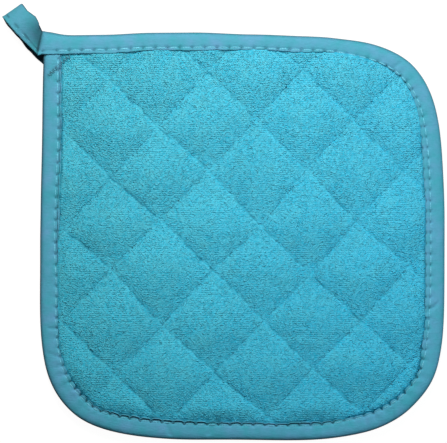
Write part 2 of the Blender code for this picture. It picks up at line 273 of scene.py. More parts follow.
# Width of tape that shows, its inner edge drawn back at each stitch
def tapeWidth(distances):
    high, wide, fine = edge["wander"]
    wander = softNoise(distances, 0.0, wide, 11) + 0.7 * softNoise(distances, 0.0, fine, 12)
    return alongEdge("shows", distances) + high * wander - drawnAt(distances, 5)


# How far the turned-under edge peeps out past the upper one
def peepAt(distances):
    vary, size = edge["peepUneven"]
    return alongEdge("peeps", distances) * (0.75 + vary * softNoise(distances, 5.0, size, 27))


# Signed distance inside the outer edge and distance along it, from the nearest point of the route
def edgeCoords(x, y):
    route = edgeRoute["points"].astype(np.float32)
    flat = np.stack([x.ravel(), y.ravel()], axis=1).astype(np.float32)
    apart = (flat[:, :1] - route[None, :, 0]) ** 2 + (flat[:, 1:] - route[None, :, 1]) ** 2
    nearest = apart.argmin(axis=1)
    offset = flat - edgeRoute["points"][nearest]
    heading = edgeRoute["headings"][nearest]
    inside = (offset * leftOf(heading)).sum(axis=1).reshape(x.shape)
    along = (edgeRoute["along"][nearest] + (offset * heading).sum(axis=1)).reshape(x.shape)
    return inside, along


quilt = {
    "turn": 46.7,  # degrees
    "pitch": 30.3,
    # distances of the sewn lines from the middle: those that fall to the right, and those that rise
    "falling": (-82.2, -51.4, -20.3, 9.4, 40.7, 70.4, 98.1),
    "rising": (-89.6, -59.9, -31.0, 1.1, 32.2, 62.5, 91.8),
    # crossings that strayed: a falling line, then its rising lines and how far each strayed up, and
    # down to the right
    "strays": (
        (0, (2, 0.8, -0.9), (3, 0.0, 0.5)),
        (1, (1, 0.0, 0.7), (2, 1.7, -1.0), (3, -1.3, 0.2), (4, -0.2, 0.1), (5, 1.4, 0.0)),
        (2, (1, -0.3, 0.4), (2, 1.1, -0.3), (3, 0.7, -0.3), (5, -0.6, -0.4)),
        (3, (0, 0.8, 0.0), (1, 0.2, 0.4), (2, 1.7, 0.5), (3, -0.5, 2.0), (4, -0.9, 1.2), (5, -0.6, 0.9)),
        (4, (1, 1.8, -0.8), (2, 0.8, 0.4), (3, -0.2, -0.6), (4, -1.6, -0.5), (5, -0.4, -0.4)),
        (5, (2, 1.2, 0.2), (3, 0.2, -0.3), (4, -0.8, -0.3)),
    ),
    "reach": 92.0,  # of the pad's grid from its middle
    "mesh": 0.88,  # size of a cell, one row of pile
    "snap": (0.55, 0.37, 2.5),  # in cells: how near a point is drawn to the tape, to a line, and where
    "pressed": (0.85, 0.30),  # how dark the painted shade along the falling and the rising lines is in places
    "broken": (0.1, 1.5, 5.0),  # least share of that, how much more in places, and the places' size
    "pressedBy": (0.6, 1.5, 0.8),  # the same under the bar, by the tape's dip and at its stitches
    "pressedReach": 1.5,  # past a stitch
    "pressedUneven": (0.8, 3.1),  # how unevenly by the dip, and over what length
    "trough": 1.6,  # half thickness along the sewn lines
    "rise": 2.8,  # of a diamond's middle above that
    "drop": 3.7,  # and below, where the table presses it flat
    "puff": 0.85,  # how soon a diamond swells beside its lines: less is sooner
    "uneven": 0.06,
    "seam": (0.12, 0.16, 0.50),  # extra depth of the falling and the rising lines, and their half width
    "lumps": ((26.0, 0.28), (11.0, 0.16), (4.6, 0.07)),  # size and height of the wadding's unevenness
    "lumpsLeft": 0.3,  # share of that left on the sewn lines
    "puckers": (5.2, 0.16, 3.4, 0.8),  # pitch, height, reach and start of gathers beside a sewn line
    "edgePuff": (0.15, 0.8),  # share of the swelling left beside the tape, and more if not tucked
    "edgeReach": 7.0,  # and how far that reaches
    "looseFrom": 3.0,  # past the tape the terry is loose from here on
    # and then let go: over what width, how far on at the tape's edge, how far above the rim
    "pinch": (0.8, 0.6, 0.1),
    "closing": 1.2,  # width over which the faces close on the rim
    "tuckReach": (0.35, 2.0),  # how deep and how far the terry is tucked beside the tape
    "dipReach": (0.9, 0.5),  # how deep and how far it dips besides
    "gather": (0.9, 1.8),  # how deep and how far the stitches gather it
    "slotAt": 0.25,  # how far past the tape's edge it dips most
    "fluff": (0.53, 1.0, 0.38, 3.8),  # pile on the crowns, more by falling and by rising lines, reach
    "ground": 0.15,  # the cloth that the pile's loops stand on lies this far inside the pile's face
    "jitter": (0.05, 1.5),  # unevenness of that cloth, and over what width it starts at the tape
    "tack": (-79.9, 75.3, 2.7, 9.0),  # where the corner is sewn through: place, flat radius, reach
}

# Soft creases in the terry: start, middle, end, half width and depth
creases = (
    (-73.3, -1.5, -60.1, -8.1, -49.2, -5.9, 1.5, 0.30),
    (10.1, 47.6, 18.9, 49.8, 30.7, 46.8, 1.5, 0.35),
    (25.5, 28.3, 36.9, 26.1, 47.4, 22.6, 1.4, 0.35),
    (-11.9, -16.9, 4.4, -19.5, 21.1, -23.5, 1.4, 0.25),
    (17.6, -42.8, 25.9, -43.2, 34.2, -44.6, 1.3, 0.35),
    (23.7, -49.4, 29.9, -49.4, 36.4, -50.7, 1.3, 0.30),
    (57.1, -74.0, 64.1, -67.4, 69.4, -57.7, 1.5, 0.30),
    (76.7, 36.9, 70.9, 31.0, 75.5, 26.5, 0.9, 0.35),
    (-19.0, -0.3, -11.0, -0.9, -3.5, -0.4, 0.9, 0.22),
)


# Where the sewn lines run, with a line more past each end, and how far each crossing has strayed
def latticeTables():
    pitch = quilt["pitch"]
    falling, rising = (np.array([lines[0] - pitch, *lines, lines[-1] + pitch])
                       for lines in (quilt["falling"], quilt["rising"]))
    stray = np.zeros((len(falling), len(rising), 2))
    for fallingLine, *crossings in quilt["strays"]:
        for risingLine, out, down in crossings:
            stray[fallingLine + 1, risingLine + 1] = out, down
    return falling, rising, stray


fallingAt, risingAt, crossingStray = latticeTables()
cosTurn, sinTurn = math.cos(math.radians(quilt["turn"])), math.sin(math.radians(quilt["turn"]))


# A place as distances across the falling and down the rising lines, and the same way back
def turned(x, y):
    return x * cosTurn + y * sinTurn, x * sinTurn - y * cosTurn


# Strays blended inside the diamond that holds each place, given in lines
def strayAt(across, along):
    row = np.clip(np.floor(across).astype(int), 0, len(fallingAt) - 2)
    column = np.clip(np.floor(along).astype(int), 0, len(risingAt) - 2)
    return blend(crossingStray, row, column, (across - row)[..., None], (along - column)[..., None])


# Which sewn lines a place lies between, as line numbers with fractions
def toLattice(x, y):
    out, down = turned(x, y)
    trueOut, trueDown = out, down
    for _ in range(4):  # the strays are small, so this settles at once
        across = np.interp(trueOut, fallingAt, np.arange(len(fallingAt)))
        along = np.interp(trueDown, risingAt, np.arange(len(risingAt)))
        stray = strayAt(across, along)
        trueOut, trueDown = out - stray[..., 0], down - stray[..., 1]
    return across, along


# The place of a point given in line numbers
def fromLattice(across, along):
    stray = strayAt(across, along)
    out = np.interp(across, np.arange(len(fallingAt)), fallingAt) + stray[..., 0]
    down = np.interp(along, np.arange(len(risingAt)), risingAt) + stray[..., 1]
    return turned(out, down)


# Depth of a soft trough along a bow through three places
def creaseDepth(x, y, crease):
    x0, y0, x1, y1, x2, y2, width, depth = crease
    steps = 24
    share = np.linspace(0.0, 1.0, steps + 1).reshape(-1, *[1] * x.ndim)
    bowX = (1 - share) ** 2 * x0 + 2 * share * (1 - share) * (2 * x1 - (x0 + x2) / 2) + share**2 * x2
    bowY = (1 - share) ** 2 * y0 + 2 * share * (1 - share) * (2 * y1 - (y0 + y2) / 2) + share**2 * y2
    apart = (x[None] - bowX) ** 2 + (y[None] - bowY) ** 2
    nearest = apart.argmin(axis=0)
    fade = np.sin(math.pi * (0.08 + 0.84 * nearest / steps))
    return depth * fade * np.exp(-apart.min(axis=0) / width**2)


# Distance inside the outer edge and along it, and past the edge of all the tape that shows
def tapeCoords(x, y):
    inside, along = edgeCoords(x, y)
    return inside, along, inside - tapeWidth(along) - peepAt(along)


# How much of its full swelling the pad has at a place, from 0 on a sewn line to about 1
def swellAt(x, y, field, tuck):
    across, along = toLattice(x, y)
    row, column = np.floor(across), np.floor(along)
    swell = np.abs(np.sin(math.pi * across) * np.sin(math.pi * along)) ** quilt["puff"]
    swell *= 1.0 + quilt["uneven"] * np.sin(2.3 * row + 1.1 * column)
    tucked, more = quilt["edgePuff"]
    least = more * (1.0 - tuck) + tucked
    swell *= least + (1 - least) * smoothStep(field / quilt["edgeReach"])
    tackX, tackY, flat, reach = quilt["tack"]
    swell *= smoothStep((np.hypot(x - tackX, y - tackY) - flat) / reach)
    return swell, across, along


# Distance from the nearest of one family's sewn lines, in millimetres
def fromLines(lineNumber):
    return quilt["pitch"] * np.abs(lineNumber - np.rint(lineNumber))


# Heights of the upper and lower face: diamonds that swell between sewn lines, with gathers beside
# the lines, lumps of wadding and soft creases, tucked down beside the tape and pinched inside it
def padFaces(x, y):
    inside, along, field = tapeCoords(x, y)
    tuck = alongEdge("tuck", along)
    swell, lineAcross, lineAlong = swellAt(x, y, field, tuck)
    apart = np.minimum(fromLines(lineAcross), fromLines(lineAlong))
    fallingDepth, risingDepth, width = quilt["seam"]
    lumps = sum(high * softNoise(x, y, size, 31 + k) for k, (size, high) in enumerate(quilt["lumps"]))
    pitch, high, reach, start = quilt["puckers"]
    gather = high * bell(apart, reach) * np.clip(apart / start, 0, 1)
    gather *= softNoise(*turned(x, y), pitch / 2, 41)
    loose = smoothStep(field / quilt["looseFrom"])
    above = quilt["trough"] + quilt["rise"] * swell + loose * (lumps * (quilt["lumpsLeft"] + swell) + gather)
    above -= loose * fallingDepth * bell(fromLines(lineAcross), width)
    above -= loose * risingDepth * bell(fromLines(lineAlong), width)
    for crease in creases:
        above -= creaseDepth(x, y, crease)
    beyond = np.clip(field - quilt["slotAt"], 0.0, None)
    stitched = drawnAt(along, 2)
    for share, (depth, reach) in ((tuck, quilt["tuckReach"]), (alongEdge("dip", along), quilt["dipReach"]),
                                  (stitched, quilt["gather"])):
        above -= share * depth * bell(beyond, reach)
    below = quilt["trough"] + quilt["drop"] * swell
    width, start, clear = quilt["pinch"]
    under = rim + clear
    hold = smoothStep(field / width + start)
    above = np.minimum(above, under + (above - under) * hold)
    below = under + (below - under) * hold
    close = np.sqrt(np.clip((inside - cloth - clearance) / quilt["closing"], 0.0, 1.0))
    above = middle + (above - quilt["ground"] * loose) * close
    below = np.maximum(middle - (below - quilt["ground"] * loose) * close, quilt["ground"] * loose)
    return above, below, field


# How far the pile stands apart, from the way the cloth bends: most just up to the right of a falling
# line, less just up to the left of a rising one, least on the crowns
def fluffAt(x, y):
    across, along = toLattice(x, y)
    fromFalling = quilt["pitch"] * (across - np.floor(across))
    fromRising = quilt["pitch"] * (np.ceil(along) - along)
    least, byFalling, byRising, reach = quilt["fluff"]
    return least + byFalling * np.exp(-fromFalling / reach) + byRising * np.exp(-fromRising / reach)


sewing = {
    "thread": 0.70,  # width of the topstitching
    "lift": 0.42,  # how far a stitch stands above the cloth
    "gap": 0.20,  # share of each stitch's pitch left for its hole
    "ends": 0.45,  # thickness at its ends, as a share
    "full": 0.6,  # how soon it is thickest: less is sooner
    "sunk": 0.25,  # how deep it lies in the cloth, as a share of its width
    "flat": 0.8,  # height of its section, as a share of its width
    "slim": 0.40,  # how much slimmer it looks where the terry is tucked
    "vary": (0.72, 1.12),  # and how much that varies from stitch to stitch
    "quiltPitch": 3.4,
    "quiltThread": 0.32,
    "quiltLift": 0.1,
    "quiltRun": (0.3, 7.7),  # first and last of it along a line, in numbers of the lines that it crosses
    "quiltClear": 2.0,  # from the tape
    "strap": (0.35, 0.05),  # width and lift of the stitches on the strap
    "bar": ((-75.4, 79.4), (-84.6, 70.6)),  # the bar of zigzag stitches that tacks the loop's tail
    "barStitches": 16,
    "barWidth": 0.95,
    "barReach": 0.9,  # of its stitches to either side, as a share of that
    "barThread": 0.38,
    "barLift": 0.2,
    "barAbove": (0.2, 0.55),  # how far it stands above the tape and above the cloth of the terry
    "barShades": (0.8, 0.4),  # painted shade: its stitches are dark and light in turn
}


# How near a place is to the middle of the bar that tacks the loop's tail: 1 on it, 0 clear of it
def barShare(x, y):
    (x0, y0), (x1, y1) = sewing["bar"]
    length = math.hypot(x1 - x0, y1 - y0)
    share = np.clip(((x - x0) * (x1 - x0) + (y - y0) * (y1 - y0)) / length**2, 0.0, 1.0)
    apart = np.hypot(x - x0 - share * (x1 - x0), y - y0 - share * (y1 - y0))
    return bell(apart, sewing["barWidth"])


# Corners of a grid's cells that were turned over, or nearly: a cell's area from the sides at a corner
def turnedOver(x, y):
    place = np.stack([x, y])
    corners = (place[:, :-1, :-1], place[:, 1:, :-1], place[:, 1:, 1:], place[:, :-1, 1:])
    marked = np.zeros(x.shape, bool)
    for k, here in enumerate(corners):
        onward, back = corners[(k + 1) % 4] - here, corners[k - 1] - here
        folded = onward[0] * back[1] - onward[1] * back[0] < 0.04
        for part in (marked[:-1, :-1], marked[1:, :-1], marked[1:, 1:], marked[:-1, 1:]):
            part |= folded
    return marked


# Points of a grid near a sewn line or near the tape's edge, drawn onto it so that it stays crisp,
# and how much painted shade each takes there: 1 by the tape, less along the sewn lines
def drawOntoLines(x, y):
    _, along, field = tapeCoords(x, y)
    inward = leftOf(readRoute(edgeRoute, along)[1])
    short = quilt["slotAt"] - field
    toTape, toLine, clear = (share * quilt["mesh"] for share in quilt["snap"])
    byTape = np.abs(short) < toTape
    x = x + np.where(byTape, short * inward[..., 0], 0.0)
    y = y + np.where(byTape, short * inward[..., 1], 0.0)
    free = field > clear
    startX, startY = x, y
    for _ in range(2):
        lineAcross, lineAlong = toLattice(x, y)
        out = quilt["pitch"] * (np.rint(lineAcross) - lineAcross)
        down = quilt["pitch"] * (np.rint(lineAlong) - lineAlong)
        onFalling, onRising = free & (np.abs(out) < toLine), free & (np.abs(down) < toLine)
        out, down = np.where(onFalling, out, 0.0), np.where(onRising, down, 0.0)
        shiftX, shiftY = turned(out, down)
        x, y = x + shiftX, y + shiftY
    folded = turnedOver(x, y) & free
    x, y = np.where(folded, startX, x), np.where(folded, startY, y)
    onFalling, onRising = onFalling & ~folded, onRising & ~folded
    # painted shade along the sewn lines, broken in places, under the bar, round the stitches and in the dip
    # beside the tape
    least, more, size = quilt["broken"]
    broken = np.clip(least + more * softNoise(x, y, size, 43), 0.0, 1.0)
    falling, rising = quilt["pressed"]
    pressed = np.maximum(np.where(onFalling, falling, 0.0), np.where(onRising, rising, 0.0)) * broken
    byBar, byDip, byStitch = quilt["pressedBy"]
    pressed = np.maximum(pressed, byBar * barShare(x, y))
    stitched = drawnAt(along, 2)
    pressed = np.maximum(pressed, stitched * bell(np.clip(field, 0.0, None), quilt["pressedReach"]))
    vary, size = quilt["pressedUneven"]
    uneven = 1.0 + vary * softNoise(along, 7.0, size, 44)
    beside = np.clip(byDip * alongEdge("dip", along) * uneven - 0.1, 0.0, 1.0)
    return x, y, np.where(byTape, np.maximum(beside, byStitch * stitched), pressed)


# Two triangles for each cell, parted along whichever diagonal lies lower, so that no valley is bridged
def splitCells(cells, heights):
    a, b, c, d = cells.T
    lower = (heights[a] + heights[c] < heights[b] + heights[d])[:, None]
    first = np.where(lower, np.stack([a, b, c], axis=1), np.stack([a, b, d], axis=1))
    second = np.where(lower, np.stack([a, c, d], axis=1), np.stack([b, c, d], axis=1))
    return np.concatenate([first, second])


# A square grid over the pad, its outermost points drawn in to the rim, in two sheets that meet there
def makeQuiltedPad():
    cell, reach = quilt["mesh"], quilt["reach"]
    line = np.arange(-reach, reach, cell)
    x, y = np.meshgrid(line, line, indexing="ij")
    aboveGrid, belowGrid, fieldGrid = padFaces(x, y)
    inside, _ = edgeCoords(x, y)
    rimAt = cloth + clearance
    kept = inside > rimAt
    x, y, pressed = drawOntoLines(x, y)
    for _ in range(3):
        inside, along = edgeCoords(x, y)
        inward = leftOf(readRoute(edgeRoute, along)[1])
        short = np.clip(rimAt - inside, 0.0, None)
        x, y = x + short * inward[..., 0], y + short * inward[..., 1]
    above, below, field = padFaces(x, y)
    spread, width = quilt["jitter"]
    jitter = np.random.default_rng(5).normal(0.0, spread, x.shape) * fluffAt(x, y)
    above += jitter * smoothStep(field / width) * (1.0 - pressed)
    above = np.where(kept, above, middle)
    below = np.where(kept, below, middle)
    count = len(line)
    cells = gridCells(count, count)
    cells = cells[kept.ravel()[cells].any(axis=1)]
    used = np.unique(cells)
    place = np.full(count * count, -1)
    place[used] = np.arange(len(used))
    cells = place[cells]
    x, y, above, below, pressed = (v.ravel()[used] for v in (x, y, above, below, pressed))
    points = np.concatenate([np.column_stack([x, y, above]), np.column_stack([x, y, below])])
    faces = np.concatenate([splitCells(cells, above), splitCells(cells, -below)[:, ::-1] + len(used)])
    pad = makePiece("quiltedPad", points, faces.tolist(),
                    shades={"pressed": np.concatenate([pressed, pressed])}, weld=0.02)
    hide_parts("quilted_pad")
    return pad, {"start": -reach, "cell": cell, "above": aboveGrid, "below": belowGrid, "field": fieldGrid}


pile = {
    "reach": 88.0,  # from the middle of the pad
    "row": 0.92,  # from one row of loops to the next
    "along": 0.72,  # from loop to loop in a row
    "stray": (0.30, 0.17),  # how far a loop strays along and across its row
    "length": (1.15, 0.22),  # and how much that varies
    "width": (0.70, 0.12),
    "height": (0.175, 0.055),
    "limits": (0.4, 1.8),  # of each of these, as shares of the mean
    "least": 0.10,  # height above, so that no bend of the cloth turns a loop over
    "waist": 0.45,  # height of its waist, as a share of its own
    "waistHighlight": 0.45,  # how much painted highlight it takes there, where its top takes 1
    "foot": 0.03,  # how deep its feet stand in the cloth
    "lean": 0.3,  # spread of its top's lean, as a share of its width
    "turn": 0.22,  # spread of the way it lies, in radians
    "turnDrift": (0.35, 7.0),  # how far neighbours turn together, and over what length
    "rowDrift": (0.35, 9.0),  # how far a row wanders, and over what length
    "clear": (0.5, 1.4),  # from the tape, and how much more where a stitch draws it back
    "parting": 0.55,  # on either side of a sewn line, half as much by the rising ones
    "underRow": 1.2,  # coarser below, where it is pressed against the table
    "underAlong": 1.0,
    "mapWidth": 182.0,  # of the flat map for baking
}


# Heights read between the points of the pad's grid
def readGrid(surface, name, x, y):
    column, row = (x - surface["start"]) / surface["cell"], (y - surface["start"]) / surface["cell"]
    left, low = np.floor(column).astype(int), np.floor(row).astype(int)
    return blend(surface[name], left, low, column - left, row - low)


# Loops of pile in rows: each a small arch with two feet and a three-sided waist, its top leaning
# at random. x = column * pitch + stray, y = row * pitch + stray, z = the cloth's height + rise.
# Those on one face's near or far half, or on all of it
def makePile(name, surface, lower, half="all"):
    rowPitch, pitch = (pile["underRow"], pile["underAlong"]) if lower else (pile["row"], pile["along"])
    chance = np.random.default_rng(9 if lower else 8)
    reach = pile["reach"]
    rows, columns = int(2 * reach / rowPitch), int(2 * reach / pitch)
    row, column = np.meshgrid(np.arange(rows), np.arange(columns), indexing="ij")
    x = -reach + (column + 0.5 * (row % 2)) * pitch + chance.normal(0.0, pile["stray"][0], row.shape)
    y = -reach + row * rowPitch + chance.normal(0.0, pile["stray"][1], row.shape)
    drift, size = pile["rowDrift"]
    y += drift * softNoise(x, y, size, 62)
    x, y = x.ravel(), y.ravel()
    fromFalling, fromRising = (fromLines(number) for number in toLattice(x, y))
    kept = (fromFalling > pile["parting"]) & (fromRising > 0.5 * pile["parting"])
    kept &= lower | (barShare(x, y) < 0.35)
    kept &= {"all": True, "near": y < 0.0, "far": y >= 0.0}[half]
    clear, drawn = pile["clear"]
    gathered = drawnAt(edgeCoords(x, y)[1], 2) * (0.0 if lower else drawn)
    kept &= readGrid(surface, "field", x, y) > clear + gathered
    x, y = x[kept], y[kept]
    count = len(x)
    scale = pitch / pile["along"]
    low, high = pile["limits"]
    length, width, height = (np.clip(chance.normal(mean, vary, count), low * mean, high * mean)
                             for mean, vary in (pile["length"], pile["width"], pile["height"]))
    if lower:  # the table presses it flat
        height = np.minimum(height, readGrid(surface, "below", x, y) - 2 * offTable)
    else:
        height = np.maximum(height * fluffAt(x, y), pile["least"])
    drift, size = pile["turnDrift"]
    turn = chance.normal(0.0, pile["turn"], count) + drift * softNoise(x, y, size, 61)
    along = np.stack([np.cos(turn), np.sin(turn)], axis=1) * (length * scale / 2)[:, None]
    side = np.stack([-np.sin(turn), np.cos(turn)], axis=1) * (width * scale / 2)[:, None]
    centre = np.stack([x, y], axis=1)
    lean = chance.normal(0.0, pile["lean"], (count, 1)) * side
    level = "below" if lower else "above"
    up = -1.0 if lower else 1.0
    corners = []
    for offset, rise in ((-along, -pile["foot"]), (along, -pile["foot"]), (lean, height),
                         (side, pile["waist"] * height), (-side, pile["waist"] * height)):
        place = centre + offset
        z = readGrid(surface, level, place[:, 0], place[:, 1]) + up * rise
        corners.append(np.column_stack([place, np.maximum(z, offTable)]))
    points = np.stack(corners, axis=1).reshape(-1, 3)
    shape = np.array([[0, 2, 3], [0, 4, 2], [0, 3, 4], [1, 3, 2], [1, 2, 4], [1, 4, 3]])
    faces = (shape[None] + (np.arange(count) * 5)[:, None, None]).reshape(-1, 3)
    # painted highlight: none at the feet, some at the waist, most at the top
    tips = np.tile([0.0, 0.0, 1.0, pile["waistHighlight"], pile["waistHighlight"]], count)
    loops = makePiece(name, points, faces.tolist(), shades={"tip": tips})
    addMap(loops.data, "OFBake", points[:, :2] / pile["mapWidth"] + 0.5)
    return loops


tape = {
    "step": 0.6,  # between sections along the edge
    "start": 7.2,  # under the top run's inner edge
    "end": 1.6,  # carried past the corner, under the loop
    "slant": (0.22, 7.0, 8.0),  # of its end at the loop, from how far before it, over what length
    "rise": 2.65,  # outside of the folded tape above the middle
    "round": 4.3,  # width over which it rounds over the edge
    "bend": 2.4,  # how square that rounding is: 2 is an ellipse
    "groove": (0.22, 0.70),  # depth of the sewn groove and its half width
    "hole": 0.45,  # extra depth where the needle went through
    "pucker": (0.16, 1.9),  # height and reach of the puckers between stitches
    "foldShade": 0.83,  # painted shade: how dark the outer fold is, and how wide that shows
    "foldWidth": 0.75,
    "foldLight": (0.85, 0.35),  # how much less so at the right and at the top
    "holeShade": 0.75,
    "holePlace": (0.12, 0.36),  # of that shade past the sewn line, and its half width
    "slotShade": 0.95,
    "barShade": 0.4,
    "endShade": (0.55, 0.8, 6.9),  # where the loop leaves it, half width, how far in
    "lip": (0.42, 0.35, 0.3),  # how far the inner edge lifts: height, between stitches, at a hole
    "settle": 0.25,  # how far it slopes down where the terry isn't tucked
    "flare": (1.6, 14.0, 6.0),  # how far the top run widens at the loop, over what length and width
    "sink": (0.9, 4.0),  # how much lower its start lies, and over what length
    "closing": (0.9, 2.3),  # how far before the corner its end closes, and over what length
    "ripples": ((8.5, 14.0, 0.16), (3.1, 5.0, 0.08)),  # the tape's own: length, width and height
    # gathers round the corners: pitch, height, unevenness and the length of that
    "cornerPleat": (6.2, 0.17, 2.2, 11.0),
    "cornerTurn": 0.022,  # radians for each millimetre in a full corner
    "creaseFade": 0.15,  # share of the width over which a crease fades out
    # the slot before the turned-under edge: width, more where the terry is tucked, and at most this
    # share of what peeps out
    "slot": (0.22, 0.58, 0.62),
    # where its end closes: height, share left of its own, where it spreads from and by how much
    "closed": (1.4, 0.27, 2.8, 0.06),
}

# Creases across the tape: distance along the edge, inner and outer reach, slant, width, depth
tapeCreases = (
    (129.0, 0.5, 1.0, 0.2, 0.6, 0.40),
    (141.0, 0.3, 0.8, 0.6, 0.9, 0.20),
    (316.0, 0.1, 0.7, 0.4, 1.0, 0.25),
    (372.0, 0.4, 1.0, -0.8, 1.1, 0.50),
    (486.0, 0.3, 1.0, 0.5, 1.1, 0.45),
    (528.0, 0.2, 0.9, -0.3, 1.4, 0.30),
    (214.0, 0.3, 1.0, -0.4, 1.2, 0.35),
    (232.0, 0.4, 1.0, 0.3, 1.2, 0.40),
)


# How sharply the edge turns, smoothed along it: about 1 in the round corners and 0 on the runs
def cornerShare(distances):
    route = edgeRoute
    turn = np.abs(np.gradient(np.unwrap(np.arctan2(route["headings"][:, 1], route["headings"][:, 0])),
                              route["along"]))
    turn = np.convolve(turn, np.ones(15) / 15.0, "same")
    return smoothStep(np.interp(distances, route["along"], turn) / tape["cornerTurn"])


# Outside of the tape above the middle, at a distance along the edge and inside it: it rounds over
# the pad's edge, dips along the sewn groove and more at each hole, lifts in a lip at its inner edge
def tapeHeight(along, inside, lower=False):
    width = tapeWidth(along)
    sewn = sewnAt(along)
    share = np.clip(inside / tape["round"], 0.0, 1.0)
    height = tape["rise"] * (1.0 - (1.0 - share) ** tape["bend"]) ** (1 / tape["bend"])
    depth, half = tape["groove"]
    holes = holeShare(stitchesTo(along), 8)
    groove = bell(inside - sewn, half)
    height -= groove * (depth + tape["hole"] * holes)
    high, reach = tape["pucker"]
    height += high * bell(inside - sewn, reach) * (0.5 - holeShare(stitchesTo(along), 2))
    beyond = smoothStep((inside - sewn) / np.maximum(width - sewn, 0.4))
    high, between, atHole = tape["lip"]
    height += high * beyond * (between - (atHole + alongEdge("drawn", along)) * holes)
    height -= tape["settle"] * beyond * (1.0 - alongEdge("tuck", along))
    seed = 29 if lower else 19
    body = smoothStep(inside / 2.0)
    for k, (length, wide, high) in enumerate(tape["ripples"]):
        height += high * body * softNoise(along / length, inside / wide, 1.0, seed + k)
    pitch, high, uneven, size = tape["cornerPleat"]
    pleat = np.sin(2 * math.pi * along / pitch + uneven * softNoise(along, 1.0, size, 23))
    height += high * cornerShare(along) * smoothStep(inside / width) * pleat * (1 - 0.6 * groove)
    fade = tape["creaseFade"]
    if not lower:
        for place, inner, outer, slant, wide, deep in tapeCreases:
            share = inside / width
            line = along - place - slant * (inside - width / 2)
            reach = smoothStep((share - inner) / fade + 1) * smoothStep((outer - share) / fade + 1)
            height -= deep * reach * bell(line, wide)
    return height


# The folded tape's section carried along the edge: out along the upper face, round the fold, back
# along the lower face, and inside it the same at the cloth's thickness
def makeEdgeBinding():
    first, last = tape["start"], edgeLength + tape["end"]
    along = np.linspace(first, last, int((last - first) / tape["step"]))
    place, heading = readRoute(edgeRoute, along)
    inward = leftOf(heading)
    width = tapeWidth(along)
    peep = peepAt(along)[:, None]
    # even to here, then closer and closer towards the fold
    even = 0.42
    share = np.concatenate([np.linspace(1.0, even, 20, endpoint=False),
                            np.linspace(even, 0.0, 12) ** 1.5 / even**0.5])
    inside = share[None] * width[:, None]
    station = along[:, None]
    upper = tapeHeight(station, inside)
    lower = tapeHeight(station, inside, lower=True)
    # the upper layer's side, then a slot, and past it the ridge of the turned-under edge, their
    # depths as shares of the cloth's thickness
    peeping = np.clip(peep / 0.5, 0.0, 1.0)
    plain = np.array([0.10, 0.45, 0.70, 0.78, 0.84, 0.90])
    ridged = np.array([0.10, 0.80, 0.95, 0.22, 0.34, 0.90])
    lipHeight = upper[:, :1] - cloth * (plain + (ridged - plain) * peeping)
    least, more, most = tape["slot"]
    slot = np.minimum(least + more * alongEdge("tuck", station) ** 2, most * peep)
    shelf = peep - slot
    lipInside = width[:, None] + 0.1 + np.concatenate(
        [0 * peep, 0.12 * slot, slot, slot + 0.25 * shelf, slot + 0.80 * shelf, peep], axis=1)
    lowLip = lower[:, :1] - cloth * np.array([0.12, 0.5, 0.9])[None]
    lowLipInside = width[:, None] + np.array([0.10, 0.14, 0.04])[None]
    hollowShare = np.linspace(0.99, 0.14, 7)
    hollowInside = hollowShare[None] * width[:, None]
    hollow = np.full_like(hollowInside, rim + 0.12)
    acrossAll = np.concatenate([lipInside[:, ::-1], inside, inside[:, -2::-1], lowLipInside,
                                hollowInside, hollowInside[:, ::-1]], axis=1)
    heightAll = np.concatenate([lipHeight[:, ::-1], upper, -lower[:, -2::-1], -lowLip,
                                -hollow, hollow[:, ::-1]], axis=1)
    # painted shade along the fold, less so at the right and at the top, in the needle holes, in the slot and
    # where the stitches hook into it
    sewn = alongEdge("sewn", station)
    rightwards, topwards = (np.clip(-inward[:, k:k + 1], 0.0, 1.0) for k in (0, 1))
    atRight, atTop = tape["foldLight"]
    rimShade = tape["foldShade"] * (1.0 - atRight * rightwards**2 - atTop * topwards**2)
    deep = rimShade * bell(acrossAll, tape["foldWidth"])
    past, half = tape["holePlace"]
    holes = holeShare(stitchesTo(station), 14) * bell(acrossAll - sewn - past, half)
    deep = np.maximum(deep, tape["holeShade"] * holes)
    tuck = alongEdge("tuck", station)
    hooks = np.maximum(tuck, alongEdge("drawn", station)) * holeShare(stitchesTo(station), 5)
    deep[:, 3:5] = np.maximum(deep[:, 3:5], tape["slotShade"] * peeping * (0.15 + 0.85 * tuck))
    deep[:, 5:8] = np.maximum(deep[:, 5:8], tape["slotShade"] * hooks)
    # painted shade in the crease where the loop leaves it
    shade, half, farIn = tape["endShade"]
    crease = bell(along - last, half)[:, None]
    deep = np.maximum(deep, shade * crease * smoothStep(farIn - acrossAll))
    # the top run widens outwards towards the loop
    flare, length, reach = tape["flare"]
    widen = flare * smoothStep((along - edgeLength + length) / length)[:, None] ** 1.5
    acrossAll = acrossAll - widen * np.clip(1.0 - acrossAll / reach, 0.0, 1.0)
    # the start lies lower, under the top run, and the end closes onto its upper face at the corner
    depth, length = tape["sink"]
    sink = 1.0 - smoothStep((along - first) / length)
    heightAll = np.where(heightAll > 0, heightAll - depth * sink[:, None], heightAll)
    before, length = tape["closing"]
    close = smoothStep((along - edgeLength + before) / length)[:, None]
    level, left, centre, wider = tape["closed"]
    heightAll = heightAll + (level + left * heightAll - heightAll) * close
    acrossAll = acrossAll + wider * (acrossAll - centre) * close
    # where the loop leaves it, it ends on a slant
    slope, before, length = tape["slant"]
    slant = slope * (acrossAll - 3.0) * smoothStep((along - edgeLength + before) / length)[:, None]
    flatPlace = place[:, None] + acrossAll[..., None] * inward[:, None] + slant[..., None] * heading[:, None]
    points = np.concatenate([flatPlace, (middle + heightAll)[..., None]], axis=2)
    # painted shade under the bar tack
    underBar = barShare(flatPlace[..., 0], flatPlace[..., 1]) * (heightAll > 0)
    deep = np.maximum(deep, tape["barShade"] * underBar)
    aroundStep = np.hypot(np.diff(acrossAll, axis=1), np.diff(heightAll, axis=1)).mean(axis=0)
    around = np.concatenate([[0.0], np.cumsum(aroundStep)])
    binding = makeTube("edgeBinding", points, (along - first) / (last - first), around / around[-1], deep)
    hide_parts("edge_binding")
    return binding, around[-1]


